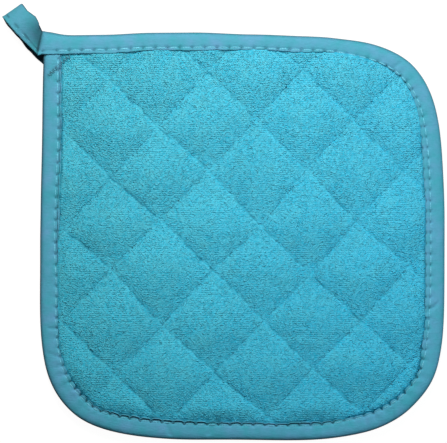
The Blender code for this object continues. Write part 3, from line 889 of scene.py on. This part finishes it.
loop = {
    "tip": (-101.1, 99.3),  # middle of its far fold
    "turn": -46.6,  # heading from the far fold to the pad, in degrees
    "halfWidth": 5.3,
    "thick": 1.1,  # two layers
    "step": 0.45,
    "sideView": (
        # name, distance from the far fold, height, heading, handle before, handle after
        ("crease", 18.6, 5.2, 150, 0, 3.2),
        ("crown", 7.6, 7.9, 180, 3.6, 3.4),
        ("far fold", 0.55, 4.0, 270, 2.3, 2.1),
        ("landing", 4.6, 0.55, 0, 2.2, 4.0),
        ("tack", 31.6, 0.55, 0, 9.0, 0),
    ),
    "skew": (0.16, 2.0, 12.0),  # how far the far fold is off square, from where that eases, and how soon
    # how far the folded and the open edge stray outwards, by distance from the far fold
    "strays": ((0.0, 0.15, -0.3), (4.7, -0.40, 0.1), (9.3, 0.40, 0.4), (12.0, -0.20, 0.3),
               (16.0, -0.1, -0.45), (18.8, 0.0, -0.7)),
    "fanFrom": 11.0,  # from here it turns into line with the top binding
    "creaseAt": 18.6,  # distance of its crease from the far fold
    "creaseTurn": 34.0,  # degrees that it has turned by there
    "creaseShift": -1.2,  # and how far it has moved to one side
    # how far the lower layer strays to one side, from where on, and over what length
    "tailShifts": ((-0.6, 0.5, 4.0), (-1.4, 11.5, 6.0), (0.3, 20.0, 9.0)),
    "ripple": (0.22, 5.0, 7.0),  # height, length and width
    "sewnAt": -3.6,  # the strap's own stitching, from its middle towards its open edge
    "stitch": 5.9,  # its pitch
    "stitched": (0.6, 15.0),  # distances from its crease between which a stitch may start
    "dent": (0.12, 0.16, 0.7),  # depth between its holes, how much more at them, and half width
    "flatShare": 0.86,  # of its half width, before its fold rounds over
    "inner": (0.05, 0.88),  # half the gap between its layers, and the share of the half width it reaches
    "wave": (0.18, 0.4, 4.0),  # how far its open edge strays, share of that at its fold, and length
    "shades": (0.09, 0.56, 0.8),  # how dark at the far fold, and painted shade: how much darker to the crease, and in it
    "rimShades": (0.75, 0.45, 0.45),  # painted shade along its fold, along its open edge, and their half width
    "stitchShade": (0.85, 0.55, 0.48),  # painted shade of its stitching, how far past it, and half width
}
loopRoute = routeThrough(loop["sideView"])


# A point of the loop: across it, and off its middle surface, at a distance along it
def loopPoints(distance, across, off):
    sideView, heading = readRoute(loopRoute, distance)
    fromFold, height = sideView[..., 0], sideView[..., 1]
    upper = heading[..., 0] < 0
    fan = smoothStep((fromFold - loop["fanFrom"]) / (loop["creaseAt"] - loop["fanFrom"]))
    fan = np.where(upper, fan, 0.0)
    tail = sum(far * smoothStep((fromFold - start) / length) for far, start, length in loop["tailShifts"])
    shift = np.where(upper, fan * loop["creaseShift"], tail)
    turn = math.radians(loop["turn"])
    axis = np.array([math.cos(turn), math.sin(turn)])
    side = np.array([-axis[1], axis[0]])
    lean = turn + math.pi / 2 + fan * math.radians(loop["creaseTurn"])
    marks, folded, opened = zip(*loop["strays"])
    share = across / loop["halfWidth"]
    across = across + np.interp(fromFold, marks, folded) * np.clip(share, 0.0, 1.0) ** 2
    across = across - np.interp(fromFold, marks, opened) * np.clip(-share, 0.0, 1.0) ** 2
    out = leftOf(heading) * -1.0  # away from the middle of the loop
    slope, start, length = loop["skew"]
    skew = slope * across * (1.0 - smoothStep((fromFold - start) / length))
    place = np.array(loop["tip"]) + (fromFold + skew + off * out[..., 0])[..., None] * axis
    place = place + shift[..., None] * side
    place = place + across[..., None] * np.stack([np.cos(lean), np.sin(lean)], axis=-1)
    return np.concatenate([place, (height + off * out[..., 1])[..., None]], axis=-1)


# The tape folded in half: a flat U with its fold towards the upper right, carried along the loop
def makeHangingLoop():
    length = loopRoute["along"][-1]
    along = np.linspace(-0.8, length, int(length / loop["step"]))
    half, thick = loop["halfWidth"], loop["thick"]
    flatShare = loop["flatShare"]
    flat = np.linspace(-1.0, flatShare, 18)
    turnRound = np.linspace(math.pi / 2, -math.pi / 2, 9)[1:-1]
    bulge = thick / 2
    rounded = half * flatShare + half * (1.0 - flatShare) * np.cos(turnRound)
    outAcross = np.concatenate([flat * half, rounded, flat[::-1] * half])
    outOff = np.concatenate([np.full(18, bulge), bulge * np.sin(turnRound), np.full(18, -bulge)])
    slot, reach = loop["inner"]
    inFlat = np.linspace(-1.0, reach, 8)
    inAcross = np.concatenate([inFlat * half, inFlat[::-1] * half])
    inOff = np.concatenate([np.full(8, -slot), np.full(8, slot)])
    across = np.concatenate([outAcross, inAcross])[None]
    off = np.concatenate([outOff, inOff])[None]
    station = along[:, None]
    depth, more, width = loop["dent"]
    dent = bell(across - loop["sewnAt"], width) * (depth + more * holeShare(station / loop["stitch"]))
    high, long, wide = loop["ripple"]
    ripple = high * softNoise(station / long, across / wide, 1.0, 51)
    far, atFold, size = loop["wave"]
    wave = far * softNoise(station, 0.0, size, 52) * np.where(across < 0, 1.0, atFold)
    off = off * (1.0 - 0.8 * dent / bulge) + ripple * 0.5
    across = across + wave
    points = loopPoints(np.broadcast_to(station, off.shape), across, off)
    points[..., 2] = np.maximum(points[..., 2], offTable)
    # painted shade, darker down towards the crease, along its edges and in its stitches, and a painted shadow
    # over the lower layer, darkest
    sideView, heading = readRoute(loopRoute, along)
    fromFold, upper = sideView[:, :1], heading[:, :1] < -0.15
    least, more, inCrease = loop["shades"]
    deep = least + more * smoothStep((fromFold - 5.0) / 12.0) * smoothStep((across + 6.5) / 8.0)
    fromCrease = (loop["creaseAt"] - fromFold) / (1.2 * smoothStep((across + 5.5) / 5.0) + 0.05)
    deep = np.maximum(deep, inCrease * np.exp(-(fromCrease**2)))
    atFold, atOpen, width = loop["rimShades"]
    deep = np.maximum(deep, np.where(across > 0, atFold, atOpen) * bell(np.abs(across) - half, width))
    dashes = smoothStep(4.0 * (np.cos(2 * math.pi * station / loop["stitch"]) - 0.1))
    dashes = np.maximum(0.7 * dashes, smoothStep((fromFold - 8.0) / 4.0) * (0.75 + 0.25 * dashes))
    shade, past, width = loop["stitchShade"]
    deep = np.maximum(deep, shade * dashes * bell(across - loop["sewnAt"] - past, width))
    deep = np.where(upper, deep, np.maximum(0.55, smoothStep((fromFold - 1.0) / 2.0)))
    columns = off.shape[1]
    strap = makeTube("hangingLoop", points, along / length, np.arange(columns) / columns, deep)
    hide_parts("hanging_loop")
    return strap


# Stitches: each a thread from hole to hole in a low bow, round in section and thinner at its ends.
# starts and ends are places on the cloth, up is 1 on the upper face and -1 on the lower
def stitchShapes(starts, ends, up, width, lift, samples=7, sides=6):
    share = np.linspace(0.0, 1.0, samples)[None, :, None, None]
    turn = np.linspace(0.0, 2 * math.pi, sides, endpoint=False)[None, None, :, None]
    starts, ends = (np.asarray(v, float)[:, None, None, :] for v in (starts, ends))
    out = np.array([0.0, 0.0, up])
    run = ends - starts
    run = run / np.linalg.norm(run, axis=-1, keepdims=True)
    side = np.cross(run, out)
    bow = np.sin(math.pi * share) ** sewing["full"]
    width = np.broadcast_to(width, len(starts))[:, None, None, None]
    radius = width / 2 * (sewing["ends"] + (1.0 - sewing["ends"]) * bow)
    points = starts + (ends - starts) * share + out * (lift * bow - sewing["sunk"] * width)
    points = points + radius * (np.cos(turn) * side + sewing["flat"] * np.sin(turn) * out)
    count = len(starts)
    cells = gridCells(samples, sides, wrapped=True)
    each = samples * sides
    offset = (np.arange(count) * each)[:, None, None]
    faces = (cells[None] + offset).reshape(-1, 4).tolist()
    caps = np.stack([np.arange(sides)[::-1], np.arange(sides) + each - sides])
    faces += (caps[None] + offset).reshape(-1, sides).tolist()
    return points.reshape(-1, 3), faces


# Joins several sets of stitches into one mesh
def joinShapes(shapes):
    points, faces, offset = [], [], 0
    for shapePoints, shapeFaces in shapes:
        points.append(shapePoints)
        faces += [[corner + offset for corner in face] for face in shapeFaces]
        offset += len(shapePoints)
    return np.concatenate(points), faces


# The topstitching round the edge, above and below
def makeEdgeStitching():
    numbers = np.arange(math.ceil(stitchesTo(tape["start"] + 2.0)), int(stitchesTo(edgeLength - 1.0)))
    count = len(numbers)
    gap = sewing["gap"] / 2
    shapes = []
    for lower in (False, True):
        ends = []
        for number in (numbers + gap, numbers + 1 - gap):
            distance = np.interp(number, stitchSums, stitchMarks)
            place, heading = readRoute(edgeRoute, distance)
            sewn = sewnAt(distance)
            height = tapeHeight(distance, sewn, lower) + 0.05
            level = middle + np.where(lower, -height, height)
            ends.append(np.column_stack([place + sewn[:, None] * leftOf(heading), level]))
        between = np.interp(numbers + 0.5, stitchSums, stitchMarks)
        tucked = np.clip(np.maximum(alongEdge("tuck", between), peepAt(between)), 0.0, 1.0)
        slim = 1.0 - sewing["slim"] * tucked
        slim = slim * np.random.default_rng(14).uniform(*sewing["vary"], count)
        up = -1.0 if lower else 1.0
        shapes.append(stitchShapes(ends[0], ends[1], up, slim * sewing["thread"], sewing["lift"]))
    points, faces = joinShapes(shapes)
    return makePiece("edgeStitching", points, faces)


# The strap's stitching and the bar of zigzag stitches that tacks the loop's tail
def makeLoopStitching():
    distance = np.arange(*loop["stitched"], loop["stitch"])
    sewn = np.full(len(distance), loop["sewnAt"])
    off = np.full(len(distance), loop["thick"] / 2 - 0.12)
    starts = loopPoints(distance, sewn, off)
    ends = loopPoints(distance + (1.0 - sewing["gap"]) * loop["stitch"], sewn, off)
    strapShapes = stitchShapes(starts, ends, 1.0, *sewing["strap"])
    barFrom, barTo = (np.array(end) for end in sewing["bar"])
    count = sewing["barStitches"]
    share = np.linspace(0.0, 1.0, count + 1)[:, None]
    axis = (barTo - barFrom) / np.linalg.norm(barTo - barFrom)
    side = np.array([-axis[1], axis[0]])
    reach = sewing["barReach"]
    zig = np.where(np.arange(count + 1) % 2, reach, -reach)[:, None] * sewing["barWidth"]
    place = barFrom + (barTo - barFrom) * share + zig * side
    inside, along = edgeCoords(place[:, 0], place[:, 1])
    onTape = inside < tapeWidth(along)
    padTop = padFaces(place[:, 0], place[:, 1])[0]
    overTape, overPad = sewing["barAbove"]
    level = np.where(onTape, middle + tapeHeight(along, inside) + overTape, padTop + overPad)
    place = np.column_stack([place, level])
    barShapes = stitchShapes(place[:-1], place[1:], 1.0, sewing["barThread"], sewing["barLift"], 5, 5)
    points, faces = joinShapes([strapShapes, barShapes])
    # painted shade on every other stitch of the bar
    dark, light = sewing["barShades"]
    barShades = np.repeat(np.where(np.arange(count) % 2, light, dark), len(barShapes[0]) // count)
    deep = np.concatenate([np.zeros(len(strapShapes[0])), barShades])
    return makePiece("loopStitching", points, faces, shades={"deep": deep})


# The quilting stitches, sunk in the troughs of both faces
def makeQuiltStitching():
    pitch = sewing["quiltPitch"] / quilt["pitch"]
    walk = np.arange(*sewing["quiltRun"], pitch)
    line, step = np.meshgrid(np.arange(1, len(quilt["falling"]) + 1), walk, indexing="ij")
    line, step = line.ravel().astype(float), step.ravel()
    starts = [fromLattice(line, step), fromLattice(step, line)]
    onward = step + (1.0 - sewing["gap"]) * pitch
    ends = [fromLattice(line, onward), fromLattice(onward, line)]
    startX, startY = (np.concatenate([s[k] for s in starts]) for k in (0, 1))
    endX, endY = (np.concatenate([e[k] for e in ends]) for k in (0, 1))
    inside, along = edgeCoords((startX + endX) / 2, (startY + endY) / 2)
    kept = inside > tapeWidth(along) + sewing["quiltClear"]
    startX, startY, endX, endY = (v[kept] for v in (startX, startY, endX, endY))
    shapes = []
    for face, up in ((0, 1.0), (1, -1.0)):
        startZ = padFaces(startX, startY)[face]
        endZ = padFaces(endX, endY)[face]
        first = np.column_stack([startX, startY, startZ])
        second = np.column_stack([endX, endY, endZ])
        shapes.append(stitchShapes(first, second, up, sewing["quiltThread"], sewing["quiltLift"], 4, 4))
    points, faces = joinShapes(shapes)
    return makePiece("quiltStitching", points, faces)


# Scene-linear colour from the red, green and blue of a picture, 0 to 255
def paint(red, green, blue):
    share = np.array([red, green, blue]) / 255.0
    linear = np.where(share <= 0.04045, share / 12.92, ((share + 0.055) / 1.055) ** 2.4)
    return (*linear.tolist(), 1.0)


# A node tree with short ways to add nodes and wire them
class Finish:
    def __init__(self, name):
        self.material = bpy.data.materials.new(name)
        self.material.use_nodes = True
        self.tree = self.material.node_tree
        self.shader = self.tree.nodes["Principled BSDF"]

    def add(self, kind, settings=None, values=None):
        made = self.tree.nodes.new(kind)
        for name, value in (settings or {}).items():
            setattr(made, name, value)
        for name, value in (values or {}).items():
            self.feed(made.inputs[name], value)
        return made

    def feed(self, socket, value):
        if isinstance(value, bpy.types.NodeSocket):
            self.tree.links.new(value, socket)
        else:
            socket.default_value = value

    def sum(self, operation, first, second):
        made = self.add("ShaderNodeMath", {"operation": operation})
        self.feed(made.inputs[0], first)
        self.feed(made.inputs[1], second)
        return made.outputs[0]

    # several values, each by its weight, added up
    def weighed(self, values, weights):
        total = self.sum("MULTIPLY", values[0], weights[0])
        for value, weight in zip(values[1:], weights[1:]):
            total = self.sum("ADD", total, self.sum("MULTIPLY", value, weight))
        return total

    def mix(self, share, first, second, way="MIX"):
        made = self.add("ShaderNodeMix", {"data_type": "RGBA", "blend_type": way})
        self.feed(made.inputs[0], share)
        self.feed(made.inputs[6], first)
        self.feed(made.inputs[7], second)
        return made.outputs[2]

    def times(self, colour, tint):
        return self.mix(1.0, colour, tint, "MULTIPLY")

    # a value stored on the mesh
    def stored(self, name):
        return self.add("ShaderNodeAttribute", {"attribute_name": name}).outputs["Fac"]

    # even bands of this pitch in millimetres: at scale 1 they are a twentieth of two pi apart
    def bands(self, vector, direction, pitch, values=None):
        made = self.add("ShaderNodeTexWave", {"wave_type": "BANDS", "bands_direction": direction}, {
            "Vector": vector, "Scale": 2 * math.pi / 20.0 / pitch, **(values or {})})
        return made.outputs["Fac"]

    # object coordinates in millimetres, stretched
    def millimetres(self, stretch=(1.0, 1.0, 1.0)):
        coords = self.add("ShaderNodeTexCoord").outputs["Object"]
        scale = tuple(s / mm for s in stretch)
        return self.add("ShaderNodeMapping", None, {"Vector": coords, "Scale": scale}).outputs[0]

    def noise(self, vector, scale, detail=2.0, rough=0.5):
        made = self.add("ShaderNodeTexNoise", None, {
            "Vector": vector, "Scale": scale, "Detail": detail, "Roughness": rough})
        return made.outputs[0]

    # a value spread from a range to 0 to 1
    def spread(self, value, low, high):
        made = self.add("ShaderNodeMapRange", None, {0: value, 1: low, 2: high})
        return made.outputs[0]

    # constants set on the shader itself
    def fix(self, values):
        for name, value in values.items():
            self.shader.inputs[name].default_value = value

    # colour, and bump of so many millimetres
    def surface(self, colour, height, bump):
        self.feed(self.shader.inputs["Base Color"], colour)
        made = self.add("ShaderNodeBump", None, {"Height": height, "Distance": bump * mm})
        self.feed(self.shader.inputs["Normal"], made.outputs[0])
        return self.material


terryLook = {
    # the loops' colour where lit, and the painted shade in the hollows between them
    "lit": paint(112, 212, 241),
    "hollow": paint(2, 167, 204),
    "grey": paint(108, 200, 212),
    # colour of the painted shade in the sewn grooves, beside the tape and round the stitches
    "pressed": paint(8, 96, 124),
    "inner": (1.10, 1.12, 1.12, 1.0),  # tint about the middle
    "wide": (0.93, 0.95, 0.96, 1.0),  # and in wide soft patches
    # tints at the left, right, near and far side: partly the cloth's own colour, partly painted light falling
    # off across the pad
    "tints": ((1.0, 0.92, 0.85, 1.0), (1.02, 1.06, 1.07, 1.0), (0.80, 0.98, 1.0, 1.0), (1.0, 1.0, 0.98, 1.0)),
    "rowPitch": 0.92,
    "loopSize": 0.85,
    "loopStretch": (0.8, 1.15, 1.0),
    "speckleStretch": (0.75, 1.3, 1.0),
    "patches": (0.4, 0.75),  # range of the noise that the worn patches take up
    "widePatches": (0.35, 0.65),
    "innerReach": 0.0095,  # one over the millimetres from the middle to where its tint ends
    "relief": (0.5, 0.35, 0.7),  # weights of the loops' tops, the rows and the speckle
    "tipHighlight": 0.3,  # painted highlight: how much lighter the loops' tips are
    "worn": 0.24,  # share of the grey in worn patches
    "roughness": 0.95,
    "shine": 0.05,
    "bump": 0.18,
}


tintSpan = ((-75.0, 85.0), (-90.0, 80.0))  # from left to right, and from the near to the far side


# A colour multiplied by tints that change evenly from left to right and from the near to the far side
def tinted(finish, colour, left, right, near, far):
    place = finish.add("ShaderNodeSeparateXYZ", None, {0: finish.millimetres()})
    for axis, (first, last) in enumerate(((left, right), (near, far))):
        share = finish.spread(place.outputs[axis], *tintSpan[axis])
        colour = finish.times(colour, finish.mix(share, first, last))
    return colour


# Terry: loops in rows, with painted highlight at their tips and painted shade between them, greyer in worn
# patches, and painted shade in the sewn grooves, beside the tape and round its stitches
def makeTerry():
    look = terryLook
    finish = Finish("terry")
    place = finish.millimetres()
    loops = finish.add("ShaderNodeTexVoronoi", {"feature": "F1"}, {
        "Vector": finish.millimetres(look["loopStretch"]), "Scale": 1.0 / look["loopSize"],
        "Randomness": 0.85})
    tops = finish.spread(loops.outputs["Distance"], 0.75, 0.05)
    rows = finish.bands(place, "Y", look["rowPitch"], {"Distortion": 3.5, "Detail": 2.0, "Detail Scale": 0.8})
    speckle = finish.noise(finish.millimetres(look["speckleStretch"]), 1.0, 3.0, 0.65)
    patches = finish.noise(place, 0.16)
    wide = finish.noise(place, 0.035)
    height = finish.weighed((tops, rows, speckle), look["relief"])
    # painted highlight on the loops' tops and tips, painted shade in the hollows between them
    tip = finish.stored("tip")
    lighter = finish.spread(height, 0.2, 1.5)
    shade = finish.sum("ADD", lighter, finish.sum("MULTIPLY", tip, look["tipHighlight"]))
    colour = finish.mix(shade, look["hollow"], look["lit"])
    worn = finish.sum("MULTIPLY", finish.spread(patches, *look["patches"]), look["worn"])
    colour = finish.mix(worn, colour, look["grey"])
    inWide = finish.spread(wide, *look["widePatches"])
    colour = finish.mix(inWide, colour, finish.times(colour, look["wide"]))
    # brighter about the middle
    reach = look["innerReach"]
    inner = finish.add("ShaderNodeTexGradient", {"gradient_type": "SPHERICAL"}, {
        "Vector": finish.millimetres((reach, reach, 0.0))}).outputs["Fac"]
    colour = finish.times(colour, finish.mix(inner, (1.0, 1.0, 1.0, 1.0), look["inner"]))
    pressed = finish.stored("pressed")
    # tints that are partly the cloth's own colour and partly painted light falling off across the pad
    colour = tinted(finish, colour, *look["tints"])
    # painted shade in the sewn grooves, beside the tape and round its stitches
    colour = finish.mix(pressed, colour, look["pressed"])
    finish.fix({"Roughness": look["roughness"], "Specular IOR Level": look["shine"]})
    return finish.surface(colour, height, look["bump"])


tapeLook = {
    "plain": paint(68, 171, 188),
    "lavender": paint(103, 168, 205),
    "deep": paint(64, 148, 168),
    # colour of the painted shade along the fold, in the holes, the slot, the crease and under the bar
    "dark": paint(14, 52, 68),
    # tints at the left, right, near and far side: partly the tape's own colour, partly painted light falling
    # off across the pad
    "tints": ((0.91, 0.88, 0.91, 1.0), (0.96, 0.95, 0.99, 1.0), (1.0, 1.06, 1.08, 1.0),
              (0.96, 0.94, 0.94, 1.0)),
    "thread": 0.32,  # pitch of the weave
    "weaveShade": 0.18,  # share of the deep colour between the threads
    "slubShade": 0.3,  # and in the slubs
    "relief": (0.12, 0.6),  # weights of the threads and the slubs
    "roughness": 0.78,
    "shine": 0.25,
    "sheen": 0.08,
    "bump": 0.22,
}


# Plain-woven tape: two crossed sets of threads with slubs, in soft patches, with painted shade where the
# stored deep value marks it
def makeTapeCloth(name, lengthMm, aroundMm, tint=(1.0, 1.0, 1.0, 1.0)):
    look = tapeLook
    finish = Finish(name)
    flat = finish.add("ShaderNodeUVMap", {"uv_map": "tape"}).outputs[0]
    inMm = {"Vector": flat, "Scale": (lengthMm, aroundMm, 1.0)}
    place = finish.add("ShaderNodeMapping", None, inMm).outputs[0]
    weave = [finish.bands(place, way, look["thread"], {"Distortion": 0.6}) for way in ("X", "Y")]
    threads = finish.sum("MULTIPLY", weave[0], weave[1])
    solid = finish.millimetres()
    mottle = finish.noise(solid, 0.13, 3.0, 0.6)
    slubs = finish.noise(finish.millimetres((0.5, 1.6, 1.0)), 0.9)
    colour = finish.mix(finish.spread(mottle, 0.34, 0.78), look["plain"], look["lavender"])
    inSlubs = finish.sum("MULTIPLY", finish.spread(slubs, 0.45, 0.8), look["slubShade"])
    colour = finish.mix(inSlubs, colour, look["deep"])
    colour = finish.times(tinted(finish, colour, *look["tints"]), tint)
    colour = finish.mix(finish.sum("MULTIPLY", threads, look["weaveShade"]), colour, look["deep"])
    # painted shade where the stored deep value marks it
    colour = finish.mix(finish.stored("deep"), colour, look["dark"])
    finish.fix({"Roughness": look["roughness"], "Specular IOR Level": look["shine"],
                "Sheen Weight": look["sheen"]})
    height = finish.weighed((threads, slubs), look["relief"])
    return finish.surface(colour, height, look["bump"])


threadLook = {
    "light": paint(124, 212, 234),
    "dark": paint(94, 186, 210),
    "worn": paint(80, 168, 192),
    "wornShare": 0.5,
    # colour of the painted shade on the bar's stitches
    "deep": paint(22, 78, 98),
    "twist": 0.55,  # pitch of its strands
    "roughness": 0.6,
    "bump": 0.06,
}
sunkLook = {"low": paint(44, 138, 166), "high": paint(62, 160, 188), "roughness": 0.85, "bump": 0.1}


# Twisted thread of the topstitching, worn darker in places
def makeThread():
    look = threadLook
    finish = Finish("thread")
    place = finish.millimetres()
    twist = finish.bands(place, "DIAGONAL", look["twist"])
    colour = finish.mix(twist, look["dark"], look["light"])
    worn = finish.spread(finish.noise(place, 0.22), 0.35, 0.7)
    colour = finish.mix(finish.sum("MULTIPLY", worn, look["wornShare"]), colour, look["worn"])
    # painted shade on the bar's stitches, where the stored deep value marks them
    colour = finish.mix(finish.stored("deep"), colour, look["deep"])
    finish.fix({"Roughness": look["roughness"]})
    return finish.surface(colour, twist, look["bump"])


# Quilting thread, the terry's own colour and fuzzed over
def makeSunkThread():
    finish = Finish("sunkThread")
    fuzz = finish.noise(finish.millimetres(), 1.4)
    colour = finish.mix(fuzz, sunkLook["low"], sunkLook["high"])
    finish.fix({"Roughness": sunkLook["roughness"]})
    return finish.surface(colour, fuzz, sunkLook["bump"])


studio = {
    "dome": 0.16,  # strength of the light from all round
    "lamps": (
        # name, place, size, watts, colour
        ("key", (-0.045, 0.29, 0.34), 0.20, 2.05, (1.0, 0.99, 0.95)),
        ("fill", (0.32, -0.02, 0.30), 0.24, 0.42, (0.80, 0.95, 1.0)),
    ),
    "floorSize": 6.0,  # metres
    "floorGlow": 0.96,  # brightness of the table where it is seen directly
    "lens": 200.0,
    "photoWidth": 196.2,  # millimetres across the picture, at the pad's middle height
    "photoCentre": (0.28, -0.22),  # middle of the picture, in millimetres from the origin
}


# A plain white table
def makeStage():
    size = studio["floorSize"] / 2
    mesh = bpy.data.meshes.new("table")
    corners = np.array([[-size, -size, 0.0], [size, -size, 0.0], [size, size, 0.0], [-size, size, 0.0]])
    mesh.from_pydata(corners.tolist(), [], [[0, 1, 2, 3]])
    table = addObject("table", mesh)
    # seen directly it is white paper in full light, and it throws little of that light back
    finish = Finish("tableTop")
    finish.fix({"Base Color": (0.10, 0.10, 0.10, 1.0), "Roughness": 0.95,
                "Emission Color": (1.0, 1.0, 1.0, 1.0)})
    seen = finish.add("ShaderNodeLightPath").outputs["Is Camera Ray"]
    glow = finish.sum("MULTIPLY", seen, studio["floorGlow"])
    finish.feed(finish.shader.inputs["Emission Strength"], glow)
    mesh.materials.append(finish.material)


# A soft room, a key light from beyond the far edge and a fill from the right
def makeLight():
    scene = bpy.context.scene
    world = bpy.data.worlds.new("softRoom")
    scene.world = world
    world.use_nodes = True
    background = world.node_tree.nodes["Background"]
    background.inputs["Color"].default_value = (1.0, 1.0, 1.0, 1.0)
    # seen directly the room is as bright as the table, so that no horizon shows
    seen = world.node_tree.nodes.new("ShaderNodeLightPath").outputs["Is Camera Ray"]
    glow = world.node_tree.nodes.new("ShaderNodeMapRange")
    glow.inputs["To Min"].default_value = studio["dome"]
    glow.inputs["To Max"].default_value = studio["floorGlow"] + 0.04
    world.node_tree.links.new(seen, glow.inputs["Value"])
    world.node_tree.links.new(glow.outputs["Result"], background.inputs["Strength"])
    for name, place, size, watts, colour in studio["lamps"]:
        lamp = bpy.data.lights.new(name, "AREA")
        lamp.shape = "SQUARE"
        lamp.size = size
        lamp.energy = watts
        lamp.color = colour
        holder = addObject(name, lamp)
        holder.location = place
        pitch = math.atan2(math.hypot(place[0], place[1]), place[2])
        holder.rotation_euler = (pitch, 0.0, math.atan2(place[0], -place[1]))
    scene.view_settings.view_transform = "Standard"


# A long lens straight above, framed as the photograph is
def makeCamera():
    lens = bpy.data.cameras.new("above")
    lens.lens = studio["lens"]
    lens.sensor_fit = "HORIZONTAL"
    lens.sensor_width = 36.0
    camera = addObject("above", lens)
    distance = studio["photoWidth"] * studio["lens"] / lens.sensor_width + middle
    camera.location = (studio["photoCentre"][0] * mm, studio["photoCentre"][1] * mm, distance * mm)
    bpy.context.scene.camera = camera


makeCamera()
makeLight()
makeStage()
terry = makeTerry()
quiltedPad, padSurface = makeQuiltedPad()
piles = (makePile("upperPileNear", padSurface, False, "near"),
         makePile("upperPileFar", padSurface, False, "far"),
         makePile("lowerPile", padSurface, True))
for piece in (quiltedPad, *piles):
    piece.data.materials.append(terry)
edgeBinding, tapeAround = makeEdgeBinding()
edgeBinding.data.materials.append(makeTapeCloth("bindingCloth", edgeLength, tapeAround))
hangingLoop = makeHangingLoop()
strapCloth = makeTapeCloth("strapCloth", loopRoute["along"][-1], 42.0, (0.88, 1.02, 0.96, 1.0))
hangingLoop.data.materials.append(strapCloth)
thread = makeThread()
for stitching in (makeEdgeStitching(), makeLoopStitching()):
    stitching.data.materials.append(thread)
quiltStitching = makeQuiltStitching()
quiltStitching.data.materials.append(makeSunkThread())
